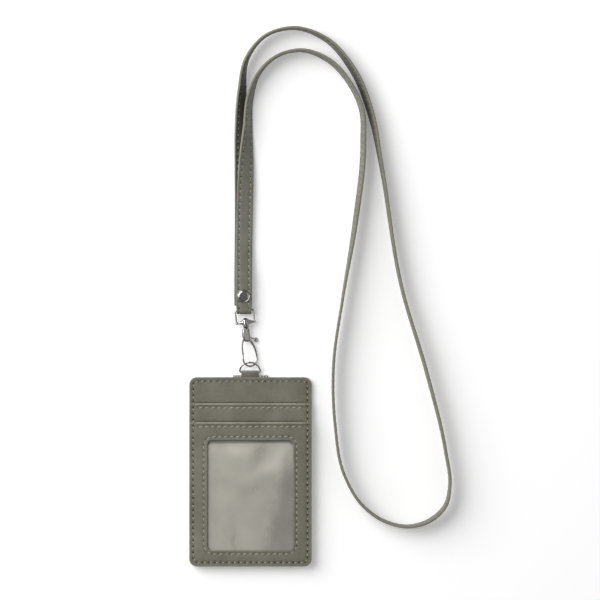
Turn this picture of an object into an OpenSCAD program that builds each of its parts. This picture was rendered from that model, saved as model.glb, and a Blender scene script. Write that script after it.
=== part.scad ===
// Leather id badge wallet on a flat neck strap. The wallet lies on its back, front face up.
// The origin is the centre of its back face, +Y points to the D-ring and +Z out of the front.

/* [Wallet] */
// Width of the wallet
wallet_w = 74; // [70:1:84]
// Height of the wallet
wallet_h = 114.3; // [112:0.1:124]
// Radius of the wallet's corners
corner_r = 4.5; // [3:0.5:6]
// Thickness of the back leather
back_t = 0.8; // [0.7:0.1:1.2]
// Thickness of the stiffener board
board_t = 1.2; // [1.1:0.1:1.6]
// Thickness of the front base leather
top_t = 0.8; // [0.6:0.1:1.2]
// Thickness of the card slot leather
slot_t = 0.8; // [0.6:0.1:1.2]
// Thickness of the window leather
window_t = 0.8; // [0.6:0.1:1.2]
// Height left for a card in each pocket
pocket_gap = 0.8; // [0.6:0.1:1.2]
// Width of the seams beside the two pockets
side_seam = 4; // [3.6:0.1:6]
// Width of the seam below the pockets
bottom_seam = 4; // [3.6:0.1:6]
// Distance from the wallet's top edge down to the card slot's edge
slot_drop = 15.75; // [14:0.05:18]
// Distance from the wallet's top edge down to the window pocket's edge
pocket_drop = 27.15; // [24:0.05:29]

/* [Window] */
// Distance from the pocket's side to the window
window_side = 7.1; // [6:0.1:10]
// Distance from the window pocket's edge down to the window
window_above = 10.9; // [9:0.1:14]
// Distance from the wallet's lower edge up to the window
window_below = 9.75; // [9.3:0.05:14]
// Radius of the window's corners
window_r = 2.7; // [1.5:0.1:4]
// Thickness of the clear film
film_t = 0.2; // [0.1:0.05:0.3]
// Thickness of the pale lining behind the window
backing_t = 0.2; // [0.1:0.05:0.3]
// Width of the film that is held behind the leather frame
film_edge = 3.6; // [3:0.1:4.5]

/* [Stitching] */
// Length of one stitch
stitch_len = 2.5; // [2:0.1:3]
// Distance from one stitch to the next
stitch_pitch = 3.65; // [3.2:0.05:4.2]
// Width of the thread
thread_w = 0.55; // [0.4:0.05:0.7]
// Height of the thread above the leather
thread_h = 0.25; // [0.15:0.05:0.35]
// Distance of the edge seam from the wallet's edge
seam_inset = 2.4; // [2:0.1:3]
// Distance of a pocket's seam below its edge
lip_seam = 2.6; // [2:0.1:3.4]
// Distance of the window seam from the window
window_seam = 2.2; // [1.6:0.1:2.6]

/* [Tab and D-ring] */
// Width of the leather loop that holds the D-ring
tab_w = 10.4; // [9:0.1:11]
// Thickness of the loop's leather
tab_t = 0.5; // [0.4:0.05:0.55]
// Depth of the loop inside the wallet
tab_depth = 9; // [7:0.5:10]
// Width of the strip under the loop
tab_base_w = 21; // [18:0.5:24]
// Height of the strip above the wallet's edge
tab_base_rise = 1.2; // [0.8:0.1:1.6]
// Height of the D-ring's straight bar above the wallet's edge
bar_rise = 3.05; // [2.8:0.05:3.4]
// Radius of the D-ring, along the middle of its wire
ring_r = 6.3; // [6.2:0.05:6.5]
// Radius of the D-ring's wire
ring_wire_r = 0.5; // [0.42:0.02:0.52]
// Angle at which the D-ring leans on the clasp
ring_lean = 20.8; // [20.4:0.1:21.2]

/* [Clasp] */
// Distance from the wallet's edge up to the swivel's centre
swivel_rise = 33.15; // [33:0.05:33.4]
// Height of the clasp's axis above the table
axis_z = 3.4; // [3.38:0.01:3.44]
// Angle of the clasp to the wallet's length
clasp_tilt = 7; // [6.6:0.1:7.1]
// Roll of the hook about the clasp's axis
hook_roll = 26; // [25:0.2:28]
// Radius of the hook's loop, along the middle of its wire
loop_r = 4.6; // [4.4:0.05:4.8]
// Radius of the hook's wire
hook_wire_r = 0.55; // [0.45:0.01:0.56]
// Distance from the swivel's centre down to the loop's centre
loop_drop = 22; // [21.9:0.05:22.3]
// Width of the hook's shank
shank_w = 4.8; // [4.4:0.1:5.2]
// Thickness of the hook's shank
shank_t = 2.6; // [2.4:0.1:3]
// Thickness of the trigger lever
lever_t = 0.9; // [0.7:0.05:1]
// Radius of the trigger's thumb knob
knob_r = 1.25; // [1:0.05:1.25]
// Radius of the trigger's pin
pin_r = 0.5; // [0.4:0.02:0.6]
// Radius of the swivel stud's shaft
stud_r = 0.9; // [0.7:0.05:1]
// Radius of the swivel's boss
boss_r = 2.3; // [2:0.1:2.5]
// Distance from the clasp's axis to the middle of the bail's leg
bail_half_w = 5.5; // [5.45:0.05:6]
// Distance from the swivel's centre to the bail's top bar
bail_h = 7.5; // [7.4:0.02:7.6]
// Radius of the bail's wire
bail_wire_r = 0.55; // [0.45:0.01:0.58]

/* [Strap] */
// Width of the strap
strap_w = 9.9; // [9.4:0.1:10.4]
// Thickness of the strap
strap_t = 1.6; // [1.3:0.1:1.6]
// Width of the strap where the bail holds it
fold_w = 8.9; // [8.4:0.1:9]
// Thickness of the strap's end between the folded legs
end_t = 1.2; // [1:0.05:1.25]
// Radius of the rivet's cap
rivet_r = 4; // [3.5:0.1:4.5]
// Height of the rivet's domed cap
rivet_h = 1.2; // [0.9:0.1:1.6]

/* [Hidden] */

$fn = 48;
overrun = 1; // how far a cut runs past the surface it opens
running_gap = 0.05; // radial clearance of a turning fit
side_gap = 0.1; // clearance beside a turning piece

leather = [0.46, 0.45, 0.41];
leather_light = [0.52, 0.51, 0.46];
thread = [0.68, 0.66, 0.58];
nickel = [0.78, 0.78, 0.76];

wallet_top_y = wallet_h / 2;
core_z = back_t;
base_z = core_z + board_t;
top_z = base_z + top_t;
slot_z = top_z + pocket_gap + slot_t;
film_z = slot_z + backing_t + pocket_gap;
window_z = film_z + film_t + window_t;
slot_lip_y = wallet_top_y - slot_drop;
window_lip_y = wallet_top_y - pocket_drop;
pocket_w = wallet_w - 2 * side_seam;
pocket_floor_y = bottom_seam - wallet_h / 2;
window_w = pocket_w - 2 * window_side;
window_low_y = window_below - wallet_h / 2;
window_top_y = window_lip_y - window_above;
window_h = window_top_y - window_low_y;
pocket_end_gap = 0.6; // from a lining's edge to the pocket's end
backing_w = pocket_w - 2 * pocket_end_gap;
backing_top_gap = 1.5; // from the lining's upper edge to the pocket's edge
board_end_y = wallet_top_y - tab_depth;
groove_h = thread_h + 0.05 * thread_h;
groove_w = thread_w + 0.4 * thread_w;

// Flat outline with round corners, centred on the origin
module round_rect(w, h, r) {
    square([w - 2 * r, h], center = true);
    square([w, h - 2 * r], center = true);
    for (x = [-1, 1], y = [-1, 1])
        translate([x * (w / 2 - r), y * (h / 2 - r)]) circle(r);
}

// Leather sheet with the wallet's outline, cut off straight at height y
module sheet_below(y, t) {
    linear_extrude(height = t) intersection() {
        round_rect(wallet_w, wallet_h, corner_r);
        translate([-wallet_w / 2, -wallet_h / 2]) square([wallet_w, y + wallet_h / 2]);
    }
}

// Box that is centred in X and starts at y and z
module box_at(w, y, h, z, t) {
    translate([-w / 2, y, z]) cube([w, h, t]);
}

module back_panel() {
    color(leather) difference() {
        sheet_below(wallet_top_y, back_t);
        translate([0, 0, -overrun]) linear_extrude(height = overrun + groove_h) difference() {
            seam_band(groove_w / 2);
            seam_band(-groove_w / 2);
        }
    }
}

// Outline of the edge seam, moved outward by d
module seam_band(d) {
    inset = seam_inset - d;
    round_rect(wallet_w - 2 * inset, wallet_h - 2 * inset, corner_r - inset / 2);
}

module stiffener_board() {
    color([0.72, 0.7, 0.65])
        box_at(pocket_w, pocket_floor_y, board_end_y - pocket_floor_y, core_z, board_t);
}

module top_panel() {
    color(leather) difference() {
        translate([0, 0, core_z]) sheet_below(wallet_top_y, board_t + top_t);
        box_at(pocket_w, pocket_floor_y, board_end_y - pocket_floor_y, core_z - overrun,
            board_t + overrun);
        box_at(tab_base_w, board_end_y, tab_depth + overrun, core_z - overrun,
            board_t + overrun);
    }
}

module slot_panel() {
    color(leather) difference() {
        translate([0, 0, top_z]) sheet_below(slot_lip_y, pocket_gap + slot_t);
        box_at(pocket_w, pocket_floor_y, wallet_h, top_z - overrun, pocket_gap + overrun);
    }
}

module window_backing() {
    color([0.66, 0.64, 0.6])
        box_at(backing_w, pocket_floor_y + pocket_end_gap,
            window_lip_y - backing_top_gap - pocket_floor_y - pocket_end_gap, slot_z, backing_t);
}

module window_film() {
    color([0.72, 0.7, 0.66, 0.5])
        translate([0, window_top_y - window_h / 2, film_z]) linear_extrude(height = film_t)
            round_rect(window_w + 2 * film_edge, window_h + 2 * film_edge, window_r);
}

module window_panel() {
    color(leather) difference() {
        translate([0, 0, slot_z]) sheet_below(window_lip_y, window_z - slot_z);
        box_at(pocket_w, pocket_floor_y, wallet_h, slot_z - overrun, film_z + film_t - slot_z + overrun);
        translate([0, window_top_y - window_h / 2, slot_z]) linear_extrude(height = window_z)
            round_rect(window_w, window_h, window_r);
    }
}

// Height of the wallet's front at y
function front_z(y) = y > slot_lip_y ? top_z : y > window_lip_y ? slot_z : window_z;

// One stitch, lying on the surface at z and turned to the angle a
module stitch(x, y, z, a) {
    translate([x, y, z + thread_h / 2]) rotate([0, 0, a])
        cube([stitch_len, thread_w, thread_h], center = true);
}

// Straight row of stitches from -reach to +reach, with whole stitches
module stitch_row(reach, y, z) {
    count = floor(2 * reach / stitch_pitch);
    for (i = [0:count - 1])
        stitch((i - (count - 1) / 2) * stitch_pitch, y, z, 0);
}

// Upright row of stitches between two heights
module stitch_column(x, y_low, y_high, z) {
    count = floor((y_high - y_low) / stitch_pitch);
    middle = (y_low + y_high) / 2;
    for (i = [0:count - 1])
        stitch(x, middle + (i - (count - 1) / 2) * stitch_pitch, z, 90);
}

seam_x = wallet_w / 2 - seam_inset;
seam_y = wallet_h / 2 - seam_inset;
seam_turn = corner_r - seam_inset / 2; // radius at which the seam turns a corner

module edge_stitching() {
    color(thread) {
        for (x = [-seam_x, seam_x]) {
            stitch_column(x, seam_turn - seam_y, window_lip_y - thread_w, window_z);
            stitch_column(x, window_lip_y + thread_w, slot_lip_y - thread_w, slot_z);
            stitch_column(x, slot_lip_y + thread_w, seam_y - seam_turn, top_z);
            stitch_column(x, seam_turn - seam_y, seam_y - seam_turn, 0);
        }
        for (end = [-1, 1]) {
            stitch_row(seam_x - seam_turn, end * seam_y, front_z(end * seam_y));
            stitch_row(seam_x - seam_turn, end * seam_y, 0);
        }
    }
}

row_reach = pocket_w / 2 - thread_w;

module upper_slot_stitching() {
    color(thread) stitch_row(row_reach, slot_lip_y - lip_seam, slot_z);
}

module lower_slot_stitching() {
    color(thread) stitch_row(row_reach, window_lip_y - lip_seam, window_z);
}

module window_stitching() {
    x = window_w / 2 + window_seam;
    y_low = window_low_y - window_seam;
    y_high = window_top_y + window_seam;
    color(thread) {
        for (y = [y_low, y_high]) stitch_row(x - stitch_len / 2, y, window_z);
        for (s = [-1, 1]) stitch_column(s * x, y_low + stitch_len / 2, y_high - stitch_len / 2, window_z);
    }
}

tab_x = -0.3; // the tab's place across the wallet
tab_floor_t = board_t - 2 * tab_t;
bar_y = wallet_top_y + bar_rise;
bar_z = core_z + tab_floor_t + tab_t;
bar_bore_r = ring_wire_r + running_gap;
loop_outer_r = bar_bore_r + tab_t;
neck_y = wallet_top_y + tab_base_rise; // where the loop's legs meet

module tab_base() {
    color(leather_light) difference() {
        box_at(tab_base_w, board_end_y, tab_depth + tab_base_rise, core_z, board_t);
        translate([tab_x, 0, 0])
            box_at(tab_w, board_end_y - overrun, tab_depth + 2 * overrun + tab_base_rise,
                core_z + tab_floor_t, board_t);
    }
}

module d_ring_tab() {
    color(leather) translate([tab_x - tab_w / 2, bar_y, bar_z]) rotate([90, 0, 90])
        linear_extrude(height = tab_w) difference() {
            union() {
                circle(loop_outer_r);
                polygon([
                    [0, loop_outer_r], [neck_y - bar_y, tab_t], [board_end_y - bar_y, tab_t],
                    [board_end_y - bar_y, -tab_t], [neck_y - bar_y, -tab_t], [0, -loop_outer_r]
                ]);
            }
            circle(bar_bore_r);
        }
}

tab_stitch_count = 3; // stitches on each side of the loop

module tab_stitching() {
    color(thread) for (s = [-1, 1]) {
        inner_x = tab_x + s * tab_w / 2;
        pitch = (s * tab_base_w / 2 - inner_x) / tab_stitch_count;
        for (i = [0:tab_stitch_count - 1])
            translate([inner_x + (i + 0.5) * pitch, wallet_top_y + tab_base_rise / 2,
                    base_z + thread_h / 2])
                cube([thread_w, tab_base_rise - running_gap, thread_h], center = true);
    }
}

module d_ring() {
    color(nickel) translate([tab_x, bar_y, bar_z]) rotate([ring_lean, 0, 0]) {
        rotate_extrude(angle = 180) translate([ring_r, 0]) circle(ring_wire_r);
        rotate([0, 90, 0]) cylinder(r = ring_wire_r, h = 2 * ring_r, center = true);
        for (s = [-1, 1]) translate([s * ring_r, 0, 0]) sphere(ring_wire_r);
    }
}

swivel_x = -2.95;
swivel_y = wallet_top_y + swivel_rise;

// The clasp's own frame: the swivel's centre, with +Y along the clasp's axis
module at_clasp() {
    translate([swivel_x, swivel_y, axis_z]) rotate([0, 0, clasp_tilt]) children();
}

// The hook's frame: the clasp's frame, rolled about the axis
module at_hook() {
    at_clasp() rotate([0, hook_roll, 0]) children();
}

// Round bar between two points of the hook's plane
module bar(p, q, r1, r2) {
    d = q - p;
    translate([p[0], p[1], 0]) rotate([0, 0, atan2(d[1], d[0])]) rotate([0, 90, 0])
        cylinder(r1 = r1, r2 = r2, h = norm(d));
}

boss_top = 1.8; // height of the boss above the swivel's centre
boss_drop = 1.6; // depth of the boss below it
collar_r = 2;
collar_h = 1.5;
collar_top = -boss_drop - 3 * side_gap;
shank_top = collar_top - collar_h;
shank_h = 8.2;
shank_x = -0.6; // the shank's middle, across the clasp's axis
shank_corner_r = 1;
shank_end = shank_top - shank_h;
side_angle = 20; // lean of the hook's straight side
nose_angle = 158; // where the hook's nose ends on the loop
pivot_rise = 3.6; // from the shank's lower end up to the trigger's pin
pivot = [shank_x - side_gap, shank_end + pivot_rise];
slot_half = lever_t / 2 + side_gap;
slot_above = 1.5; // how far the shank's slot opens above the pin
slot_below = 2.1; // how far it opens below the pin, on the knob's side
lever_hub_r = 1.3;
knob_reach = 5.3; // from the clasp's axis out to the knob
knob_drop = 3.1; // from the pin down to the knob
knob_at = [knob_reach, pivot[1] - knob_drop];
arm_r = 0.4;
gate_r = 0.5;
loop_at = [0, -loop_drop];
nose_at = loop_at + loop_r * [cos(nose_angle), sin(nose_angle)];
nose_r = 1.05 * hook_wire_r;
gate_tip = nose_at + (nose_r + side_gap) * unit(pivot - nose_at);

module hook_body() {
    side_root_r = 1.6 * hook_wire_r;
    side_start = loop_at + loop_r * [cos(side_angle), sin(side_angle)];
    side_len = (shank_end + arm_r - side_start[1]) / cos(side_angle);
    side_dir = [-sin(side_angle), cos(side_angle)];
    color(nickel) at_hook() {
        difference() {
            union() {
                translate([shank_x, shank_top - shank_h / 2, -shank_t / 2])
                    linear_extrude(height = shank_t) round_rect(shank_w, shank_h, shank_corner_r);
                translate([0, collar_top, 0]) rotate([90, 0, 0]) cylinder(r = collar_r, h = collar_h + shank_corner_r);
                bar(side_start - hook_wire_r * side_dir, side_start + side_len * side_dir,
                    nose_r, side_root_r);
            }
            lever_slot();
            translate([pivot[0], pivot[1], 0]) cylinder(r = pin_r, h = 2 * shank_t, center = true);
            translate([0, stud_end, 0]) rotate([-90, 0, 0]) cylinder(r = stud_r, h = -stud_end);
        }
        translate([loop_at[0], loop_at[1], 0]) rotate([0, 0, nose_angle])
            rotate_extrude(angle = 360 + side_angle - nose_angle)
                translate([loop_r, 0]) circle(hook_wire_r);
        translate([nose_at[0], nose_at[1], 0]) sphere(nose_r);
    }
}

// Space inside the shank in which the lever turns
module lever_slot() {
    right = shank_x + shank_w / 2 + overrun;
    left = shank_x - shank_w / 2 - overrun;
    web = shank_x + shank_w / 4;
    translate([0, 0, -slot_half]) linear_extrude(height = 2 * slot_half) polygon([
        [left, shank_end - overrun], [web, shank_end - overrun], [web, pivot[1] - slot_below],
        [right, pivot[1] - slot_below], [right, pivot[1] + slot_above], [left, pivot[1] + slot_above]
    ]);
}

stud_end = collar_top - collar_h;
stud_head_r = 1.7;
stud_head_h = 0.9;

module swivel_stud() {
    color(nickel) at_clasp() {
        translate([0, stud_end, 0]) rotate([-90, 0, 0])
            cylinder(r = stud_r, h = boss_top + 2 * side_gap - stud_end);
        translate([0, boss_top + side_gap, 0]) rotate([-90, 0, 0]) dome(stud_head_r, stud_head_h);
    }
}

// Round cap of radius r and height h, cut from a ball
module dome(r, h) {
    ball_r = (r * r + h * h) / (2 * h);
    intersection() {
        translate([0, 0, h - ball_r]) sphere(ball_r, $fn = 96);
        cylinder(r = r + h, h = 2 * h);
    }
}

module trigger_pin() {
    color(nickel) at_hook() translate([pivot[0], pivot[1], 0])
        cylinder(r = pin_r, h = shank_t + side_gap, center = true);
}

spring_r = 0.4;
spring_len = 1.7;
spring_x = pivot[0] + lever_hub_r + spring_r + 2 * side_gap;

module trigger_spring() {
    color([0.6, 0.6, 0.6]) at_hook() translate([spring_x, pivot[1] + slot_above, 0])
        rotate([90, 0, 0]) difference() {
            cylinder(r = spring_r, h = spring_len);
            translate([0, 0, -overrun]) cylinder(r = spring_r / 2, h = spring_len + 2 * overrun);
        }
}

module trigger_lever() {
    color(nickel) at_hook() {
        difference() {
            union() {
                translate([pivot[0], pivot[1], 0]) cylinder(r = lever_hub_r, h = lever_t, center = true);
                bar(pivot, knob_at, arm_r, arm_r);
                intersection() {
                    bar(pivot, gate_tip, gate_r, gate_r);
                    box_at(3 * shank_w, pivot[1] - 4 * shank_w, 4 * shank_w, -lever_t / 2, lever_t);
                }
            }
            translate([pivot[0], pivot[1], 0])
                cylinder(r = pin_r + running_gap, h = 2 * shank_t, center = true);
        }
        translate([knob_at[0], knob_at[1], 0]) intersection() {
            sphere(knob_r);
            cube([3 * knob_r, 3 * knob_r, knob_r], center = true);
        }
    }
}

module swivel_bail() {
    color(nickel) at_clasp() {
        difference() {
            union() {
                translate([0, -boss_drop, 0]) rotate([-90, 0, 0]) cylinder(r = boss_r, h = boss_top + boss_drop);
                for (s = [-1, 1]) rotate([0, s * 90, 0])
                    cylinder(r1 = bail_root_r, r2 = 0.9 * bail_base_r, h = bail_half_w);
            }
            rotate([90, 0, 0]) cylinder(r = stud_r + running_gap, h = 2 * bail_h, center = true);
        }
        translate([0, bail_h, 0]) rotate([0, 90, 0])
            cylinder(r = bail_wire_r, h = 2 * bail_half_w, center = true);
        for (s = [-1, 1]) translate([s * bail_half_w, 0, 0]) {
            sphere(bail_base_r);
            rotate([-90, 0, 0]) cylinder(r = bail_wire_r, h = bail_h);
            translate([0, bail_h, 0]) sphere(bail_wire_r);
        }
    }
}

bail_root_r = 1.9; // the base bar beside the boss
bail_base_r = 0.8; // the ball at each of its ends

strap_x = -3.95;
fold_inner_r = bail_wire_r + side_gap;
fold_outer_r = fold_inner_r + strap_t;
fold_y = swivel_y + bail_h * cos(clasp_tilt) - (fold_w / 2) * sin(clasp_tilt);
fold_bottom = 1.75; // the fold is pressed flat this far below its centre
strap_meet_y = 113; // where the folded end meets the free strap
tail_end_y = 112;
taper_len = 5;
rivet_x = -4.2;
rivet_y = 106.3;
rivet_hole_r = 1.45;
rivet_post_r = 1;

// Leg of the folded strap, narrower at the bail, up to the height y_end
module strap_leg(y_end) {
    linear_extrude(height = strap_t) polygon([
        [-fold_w / 2, 0], [fold_w / 2, 0], [strap_w / 2, taper_len], [strap_w / 2, y_end - fold_y],
        [-strap_w / 2, y_end - fold_y], [-strap_w / 2, taper_len]
    ]);
}

module rivet_hole() {
    translate([rivet_x, rivet_y, -overrun]) cylinder(r = rivet_hole_r, h = 4 * axis_z);
}

module strap_fold() {
    color(leather) difference() {
        translate([strap_x, fold_y, axis_z]) {
            translate([0, 0, fold_inner_r]) strap_leg(strap_meet_y);
            translate([0, 0, -fold_outer_r]) strap_leg(tail_end_y);
            difference() {
                rotate([0, 90, 0]) cylinder(r = fold_outer_r, h = fold_w, center = true);
                rotate([0, 90, 0]) cylinder(r = fold_inner_r, h = 2 * fold_w, center = true);
                box_at(2 * fold_w, 0, fold_w, -fold_w, 2 * fold_w);
                box_at(2 * fold_w, -fold_w - fold_bottom, fold_w, -fold_w, 2 * fold_w);
            }
        }
        rivet_hole();
    }
}

end_start_y = 100.5;
end_x = -4.9; // the returning end lies a little to the left, where it shows beside the front layer

module strap_end() {
    color(leather) difference() {
        translate([end_x, 0, 0])
            box_at(strap_w, end_start_y, strap_meet_y - end_start_y, axis_z - end_t / 2, end_t);
        rivet_hole();
    }
}

rivet_rim_h = 0.35;
rivet_base_h = 1;
rivet_base_r = 3.6;

module rivet_cap() {
    color(nickel) translate([rivet_x, rivet_y, axis_z + fold_outer_r]) {
        cylinder(r = rivet_r, h = rivet_rim_h);
        translate([0, 0, rivet_rim_h]) dome(rivet_r, rivet_h - rivet_rim_h);
        translate([0, 0, -2 * fold_outer_r]) cylinder(r = rivet_post_r, h = 2 * fold_outer_r);
    }
}

module rivet_base() {
    color(nickel) translate([rivet_x, rivet_y, axis_z - fold_outer_r]) {
        translate([0, 0, -rivet_base_h]) cylinder(r = rivet_base_r, h = rivet_base_h);
        difference() {
            cylinder(r = rivet_hole_r, h = 2 * fold_outer_r);
            translate([0, 0, -overrun]) cylinder(r = rivet_post_r, h = 2 * fold_outer_r + 2 * overrun);
        }
    }
}

// Route of the strap: [x, y, lift above the table, lean], in the order of travel from the clasp.
// A lean of 0 stands on edge, 90 lies flat with the stitched face up, -90 flat with it down.
route = [
    [-3.95, 113, 4, 90], [-3.9, 132, 1.9, 90], [-3.3, 164, 1.8, 88], [-2.6, 188, 1.2, 60],
    [-1.7, 208, 0.1, 30], [-0.2, 227, 0, 19], [4.8, 240.5, 1, 7], [15.5, 251, 1.5, 2],
    [31.4, 254.8, 1.5, 3], [47, 249, 1, 9], [60, 235, 0, 10], [67, 220, 0.5, 11],
    [68.2, 198, 1.2, 13], [63.5, 152, 2, 11], [55.6, 104, 2.5, 1], [50.2, 65, 2.5, 1],
    [51, 30, 2.5, 0], [57, -2.5, 2, 0], [67.5, -20, 1, -1], [80.5, -29.6, 0, -2],
    [95, -33, 0.5, -3], [109, -29, 1.5, -6], [118, -20, 2, -5], [120.5, -8, 2.2, -2],
    [118, 12, 2.5, -2], [106.5, 60, 2.5, -4], [91.5, 111, 2.2, -3], [78.6, 188, 1.2, -7],
    [73, 216, 0, -17], [62, 243, 0, -18], [45, 262, 0, -10], [26.9, 268.3, 1, -3],
    [9, 263.5, 1.5, -2], [-2, 250, 1.2, -9], [-5.2, 230, 0, -26], [-5.3, 208, 0, -54],
    [-4.8, 186, 0, -76], [-4.6, 160, 0, -90], [-4.8, 132, 0, -90], [-4.9, 113, 2.55, -90]
];
steps_per_span = 2;
strap_edge = 0.45; // bevel of the strap's edges

last = len(route) - 1;
function place(i) = let (p = route[i])
    [p[0], p[1], p[2] + strap_w / 2 * abs(cos(p[3])) + strap_t / 2 * abs(sin(p[3]))];
function thickness(i) = i == last ? end_t : strap_t;
function chord(i) = norm(place(i + 1) - place(i));
function slope(i) = i == 0 ? [0, 1, 0] : i == last ? [0, -1, 0]
    : let (a = chord(i - 1), b = chord(i))
        ((place(i + 1) - place(i)) * a / b + (place(i) - place(i - 1)) * b / a) / (a + b);
function lean_slope(i) = i == 0 || i == last ? 0
    : (route[i + 1][3] - route[i - 1][3]) / (chord(i - 1) + chord(i));
function curve(a, b, m, n, u) =
    a * (2 * pow(u, 3) - 3 * pow(u, 2) + 1) + m * (pow(u, 3) - 2 * pow(u, 2) + u)
    + b * (3 * pow(u, 2) - 2 * pow(u, 3)) + n * (pow(u, 3) - pow(u, 2));
function curve_slope(a, b, m, n, u) =
    (b - a) * (6 * u - 6 * pow(u, 2)) + m * (3 * pow(u, 2) - 4 * u + 1) + n * (3 * pow(u, 2) - 2 * u);
function unit(v) = v / norm(v);

// The eight corners of the strap's section at a point, with its direction, lean and thickness
function ring(p, dir, lean, t) = let (
        right = unit(cross(dir, [0, 0, 1])),
        up = cross(right, dir),
        across = cos(lean) * up - sin(lean) * right,
        out = cross(dir, across),
        a = strap_w / 2, b = t / 2, c = strap_edge
    ) [for (q = [[a, b - c], [a - c, b], [c - a, b], [-a, b - c],
            [-a, c - b], [c - a, -b], [a - c, -b], [a, c - b]])
        p + q[0] * across + q[1] * out];

function span_ring(i, u) = let (h = chord(i)) ring(
    curve(place(i), place(i + 1), slope(i) * h, slope(i + 1) * h, u),
    unit(curve_slope(place(i), place(i + 1), slope(i) * h, slope(i + 1) * h, u)),
    curve(route[i][3], route[i + 1][3], lean_slope(i) * h, lean_slope(i + 1) * h, u),
    thickness(i) * (1 - u) + thickness(i + 1) * u);

module lanyard_strap() {
    rings = concat(
        [for (i = [0:last - 1], k = [0:steps_per_span - 1]) span_ring(i, k / steps_per_span)],
        [span_ring(last - 1, 1)]);
    sides = len(rings[0]);
    end = (len(rings) - 1) * sides;
    color(leather) polyhedron(
        points = [for (r = rings, p = r) p],
        faces = concat(
            [[for (j = [sides - 1:-1:0]) j]],
            [[for (j = [0:sides - 1]) end + j]],
            [for (k = [0:len(rings) - 2], j = [0:sides - 1], half = [0, 1])
                let (a = k * sides + j, b = k * sides + (j + 1) % sides)
                half == 0 ? [a, b, b + sides] : [a, b + sides, a + sides]]));
}

back_panel();
stiffener_board();
top_panel();
slot_panel();
window_backing();
window_film();
window_panel();
edge_stitching();
upper_slot_stitching();
lower_slot_stitching();
window_stitching();
tab_base();
d_ring_tab();
tab_stitching();
d_ring();
hook_body();
swivel_stud();
trigger_pin();
trigger_spring();
trigger_lever();
swivel_bail();
strap_fold();
strap_end();
rivet_cap();
rivet_base();
lanyard_strap();
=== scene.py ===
"""A leather id badge wallet on a neck strap, lying on a white table, seen from straight above."""

import math
import random

import bmesh
import bpy
from mathutils import Matrix, Vector, kdtree, noise


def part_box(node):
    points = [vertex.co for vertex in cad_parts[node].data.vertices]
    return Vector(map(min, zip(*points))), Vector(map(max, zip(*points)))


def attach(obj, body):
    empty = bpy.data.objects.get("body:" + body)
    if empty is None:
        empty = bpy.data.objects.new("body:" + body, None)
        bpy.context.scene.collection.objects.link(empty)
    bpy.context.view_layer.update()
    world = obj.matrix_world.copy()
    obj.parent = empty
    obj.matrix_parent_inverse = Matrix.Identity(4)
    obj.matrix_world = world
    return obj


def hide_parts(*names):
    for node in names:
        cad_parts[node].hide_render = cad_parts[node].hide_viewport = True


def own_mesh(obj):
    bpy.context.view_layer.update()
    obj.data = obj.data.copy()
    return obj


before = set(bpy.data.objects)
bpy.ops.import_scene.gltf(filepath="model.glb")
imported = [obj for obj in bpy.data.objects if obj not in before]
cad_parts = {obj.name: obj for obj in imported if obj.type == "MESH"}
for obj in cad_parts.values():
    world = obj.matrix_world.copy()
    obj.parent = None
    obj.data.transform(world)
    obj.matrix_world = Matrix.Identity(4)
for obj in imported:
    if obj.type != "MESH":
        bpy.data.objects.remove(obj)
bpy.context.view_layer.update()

# Everything below is in millimetres and degrees, up to where it goes into Blender.
MM = 0.001

# The photograph: how much one of its pixels shows, and the point in its middle
PIXEL_MM = 0.605
PHOTO_PIXELS = 600
PHOTO_CENTRE = (29.95, 103.9, 3.0)
CAMERA_HEIGHT = 3000
SENSOR = 36.0


def add_object(name, data):
    made = bpy.data.objects.new(name, data)
    bpy.context.scene.collection.objects.link(made)
    return made


def make_camera():
    data = bpy.data.cameras.new("camera")
    data.sensor_width = SENSOR
    data.lens = SENSOR * CAMERA_HEIGHT / (PIXEL_MM * PHOTO_PIXELS)
    data.clip_end = 100
    camera = add_object("camera", data)
    camera.location = (Vector(PHOTO_CENTRE) + Vector((0, 0, CAMERA_HEIGHT))) * MM
    bpy.context.scene.camera = camera


make_camera()


# Materials

def set_inputs(tree, shader, inputs):
    """Sets inputs of a shader. Each value is a number, a colour or another node's output."""
    for key, value in inputs.items():
        if isinstance(value, bpy.types.NodeSocket):
            tree.links.new(value, shader.inputs[key])
        else:
            shader.inputs[key].default_value = value


def node(tree, kind, inputs=None, **settings):
    made = tree.nodes.new("ShaderNode" + kind)
    for key, value in settings.items():
        setattr(made, key, value)
    set_inputs(tree, made, inputs or {})
    return made


def linear(colour):
    """A colour on a screen's scale of 0 to 255, as light."""
    shares = [value / 255 for value in colour]
    return tuple(s / 12.92 if s <= 0.04045 else ((s + 0.055) / 1.055) ** 2.4
                 for s in shares) + (1.0,)


def lit(colour, share):
    """The colour made lighter or darker."""
    return tuple(min(1.0, c * share) for c in colour[:3]) + (1.0,)


def new_material(name):
    """A material, its node tree and its surface shader."""
    material = bpy.data.materials.new(name)
    material.use_nodes = True
    tree = material.node_tree
    return material, tree, tree.nodes["Principled BSDF"]


def place_on(tree):
    """The place on the object, in millimetres."""
    place = node(tree, "TexCoord").outputs["Object"]
    return node(tree, "VectorMath", {0: place, "Scale": 1 / MM}, operation="SCALE").outputs[0]


def noise_at(tree, place, size, detail=3.0, roughness=0.5):
    """Cloudy noise whose patches are about size millimetres wide."""
    inputs = {"Vector": place, "Scale": 1 / size, "Detail": detail, "Roughness": roughness}
    return node(tree, "TexNoise", inputs).outputs["Fac"]


def ramp(tree, factor, *stops):
    """Colours at places from 0 to 1 along a factor."""
    made = node(tree, "ValToRGB", {"Fac": factor})
    elements = made.color_ramp.elements
    while len(elements) < len(stops):
        elements.new(0.5)
    for element, (position, colour) in zip(elements, stops):
        element.position = position
        element.color = colour
    return made.outputs["Color"]


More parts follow.
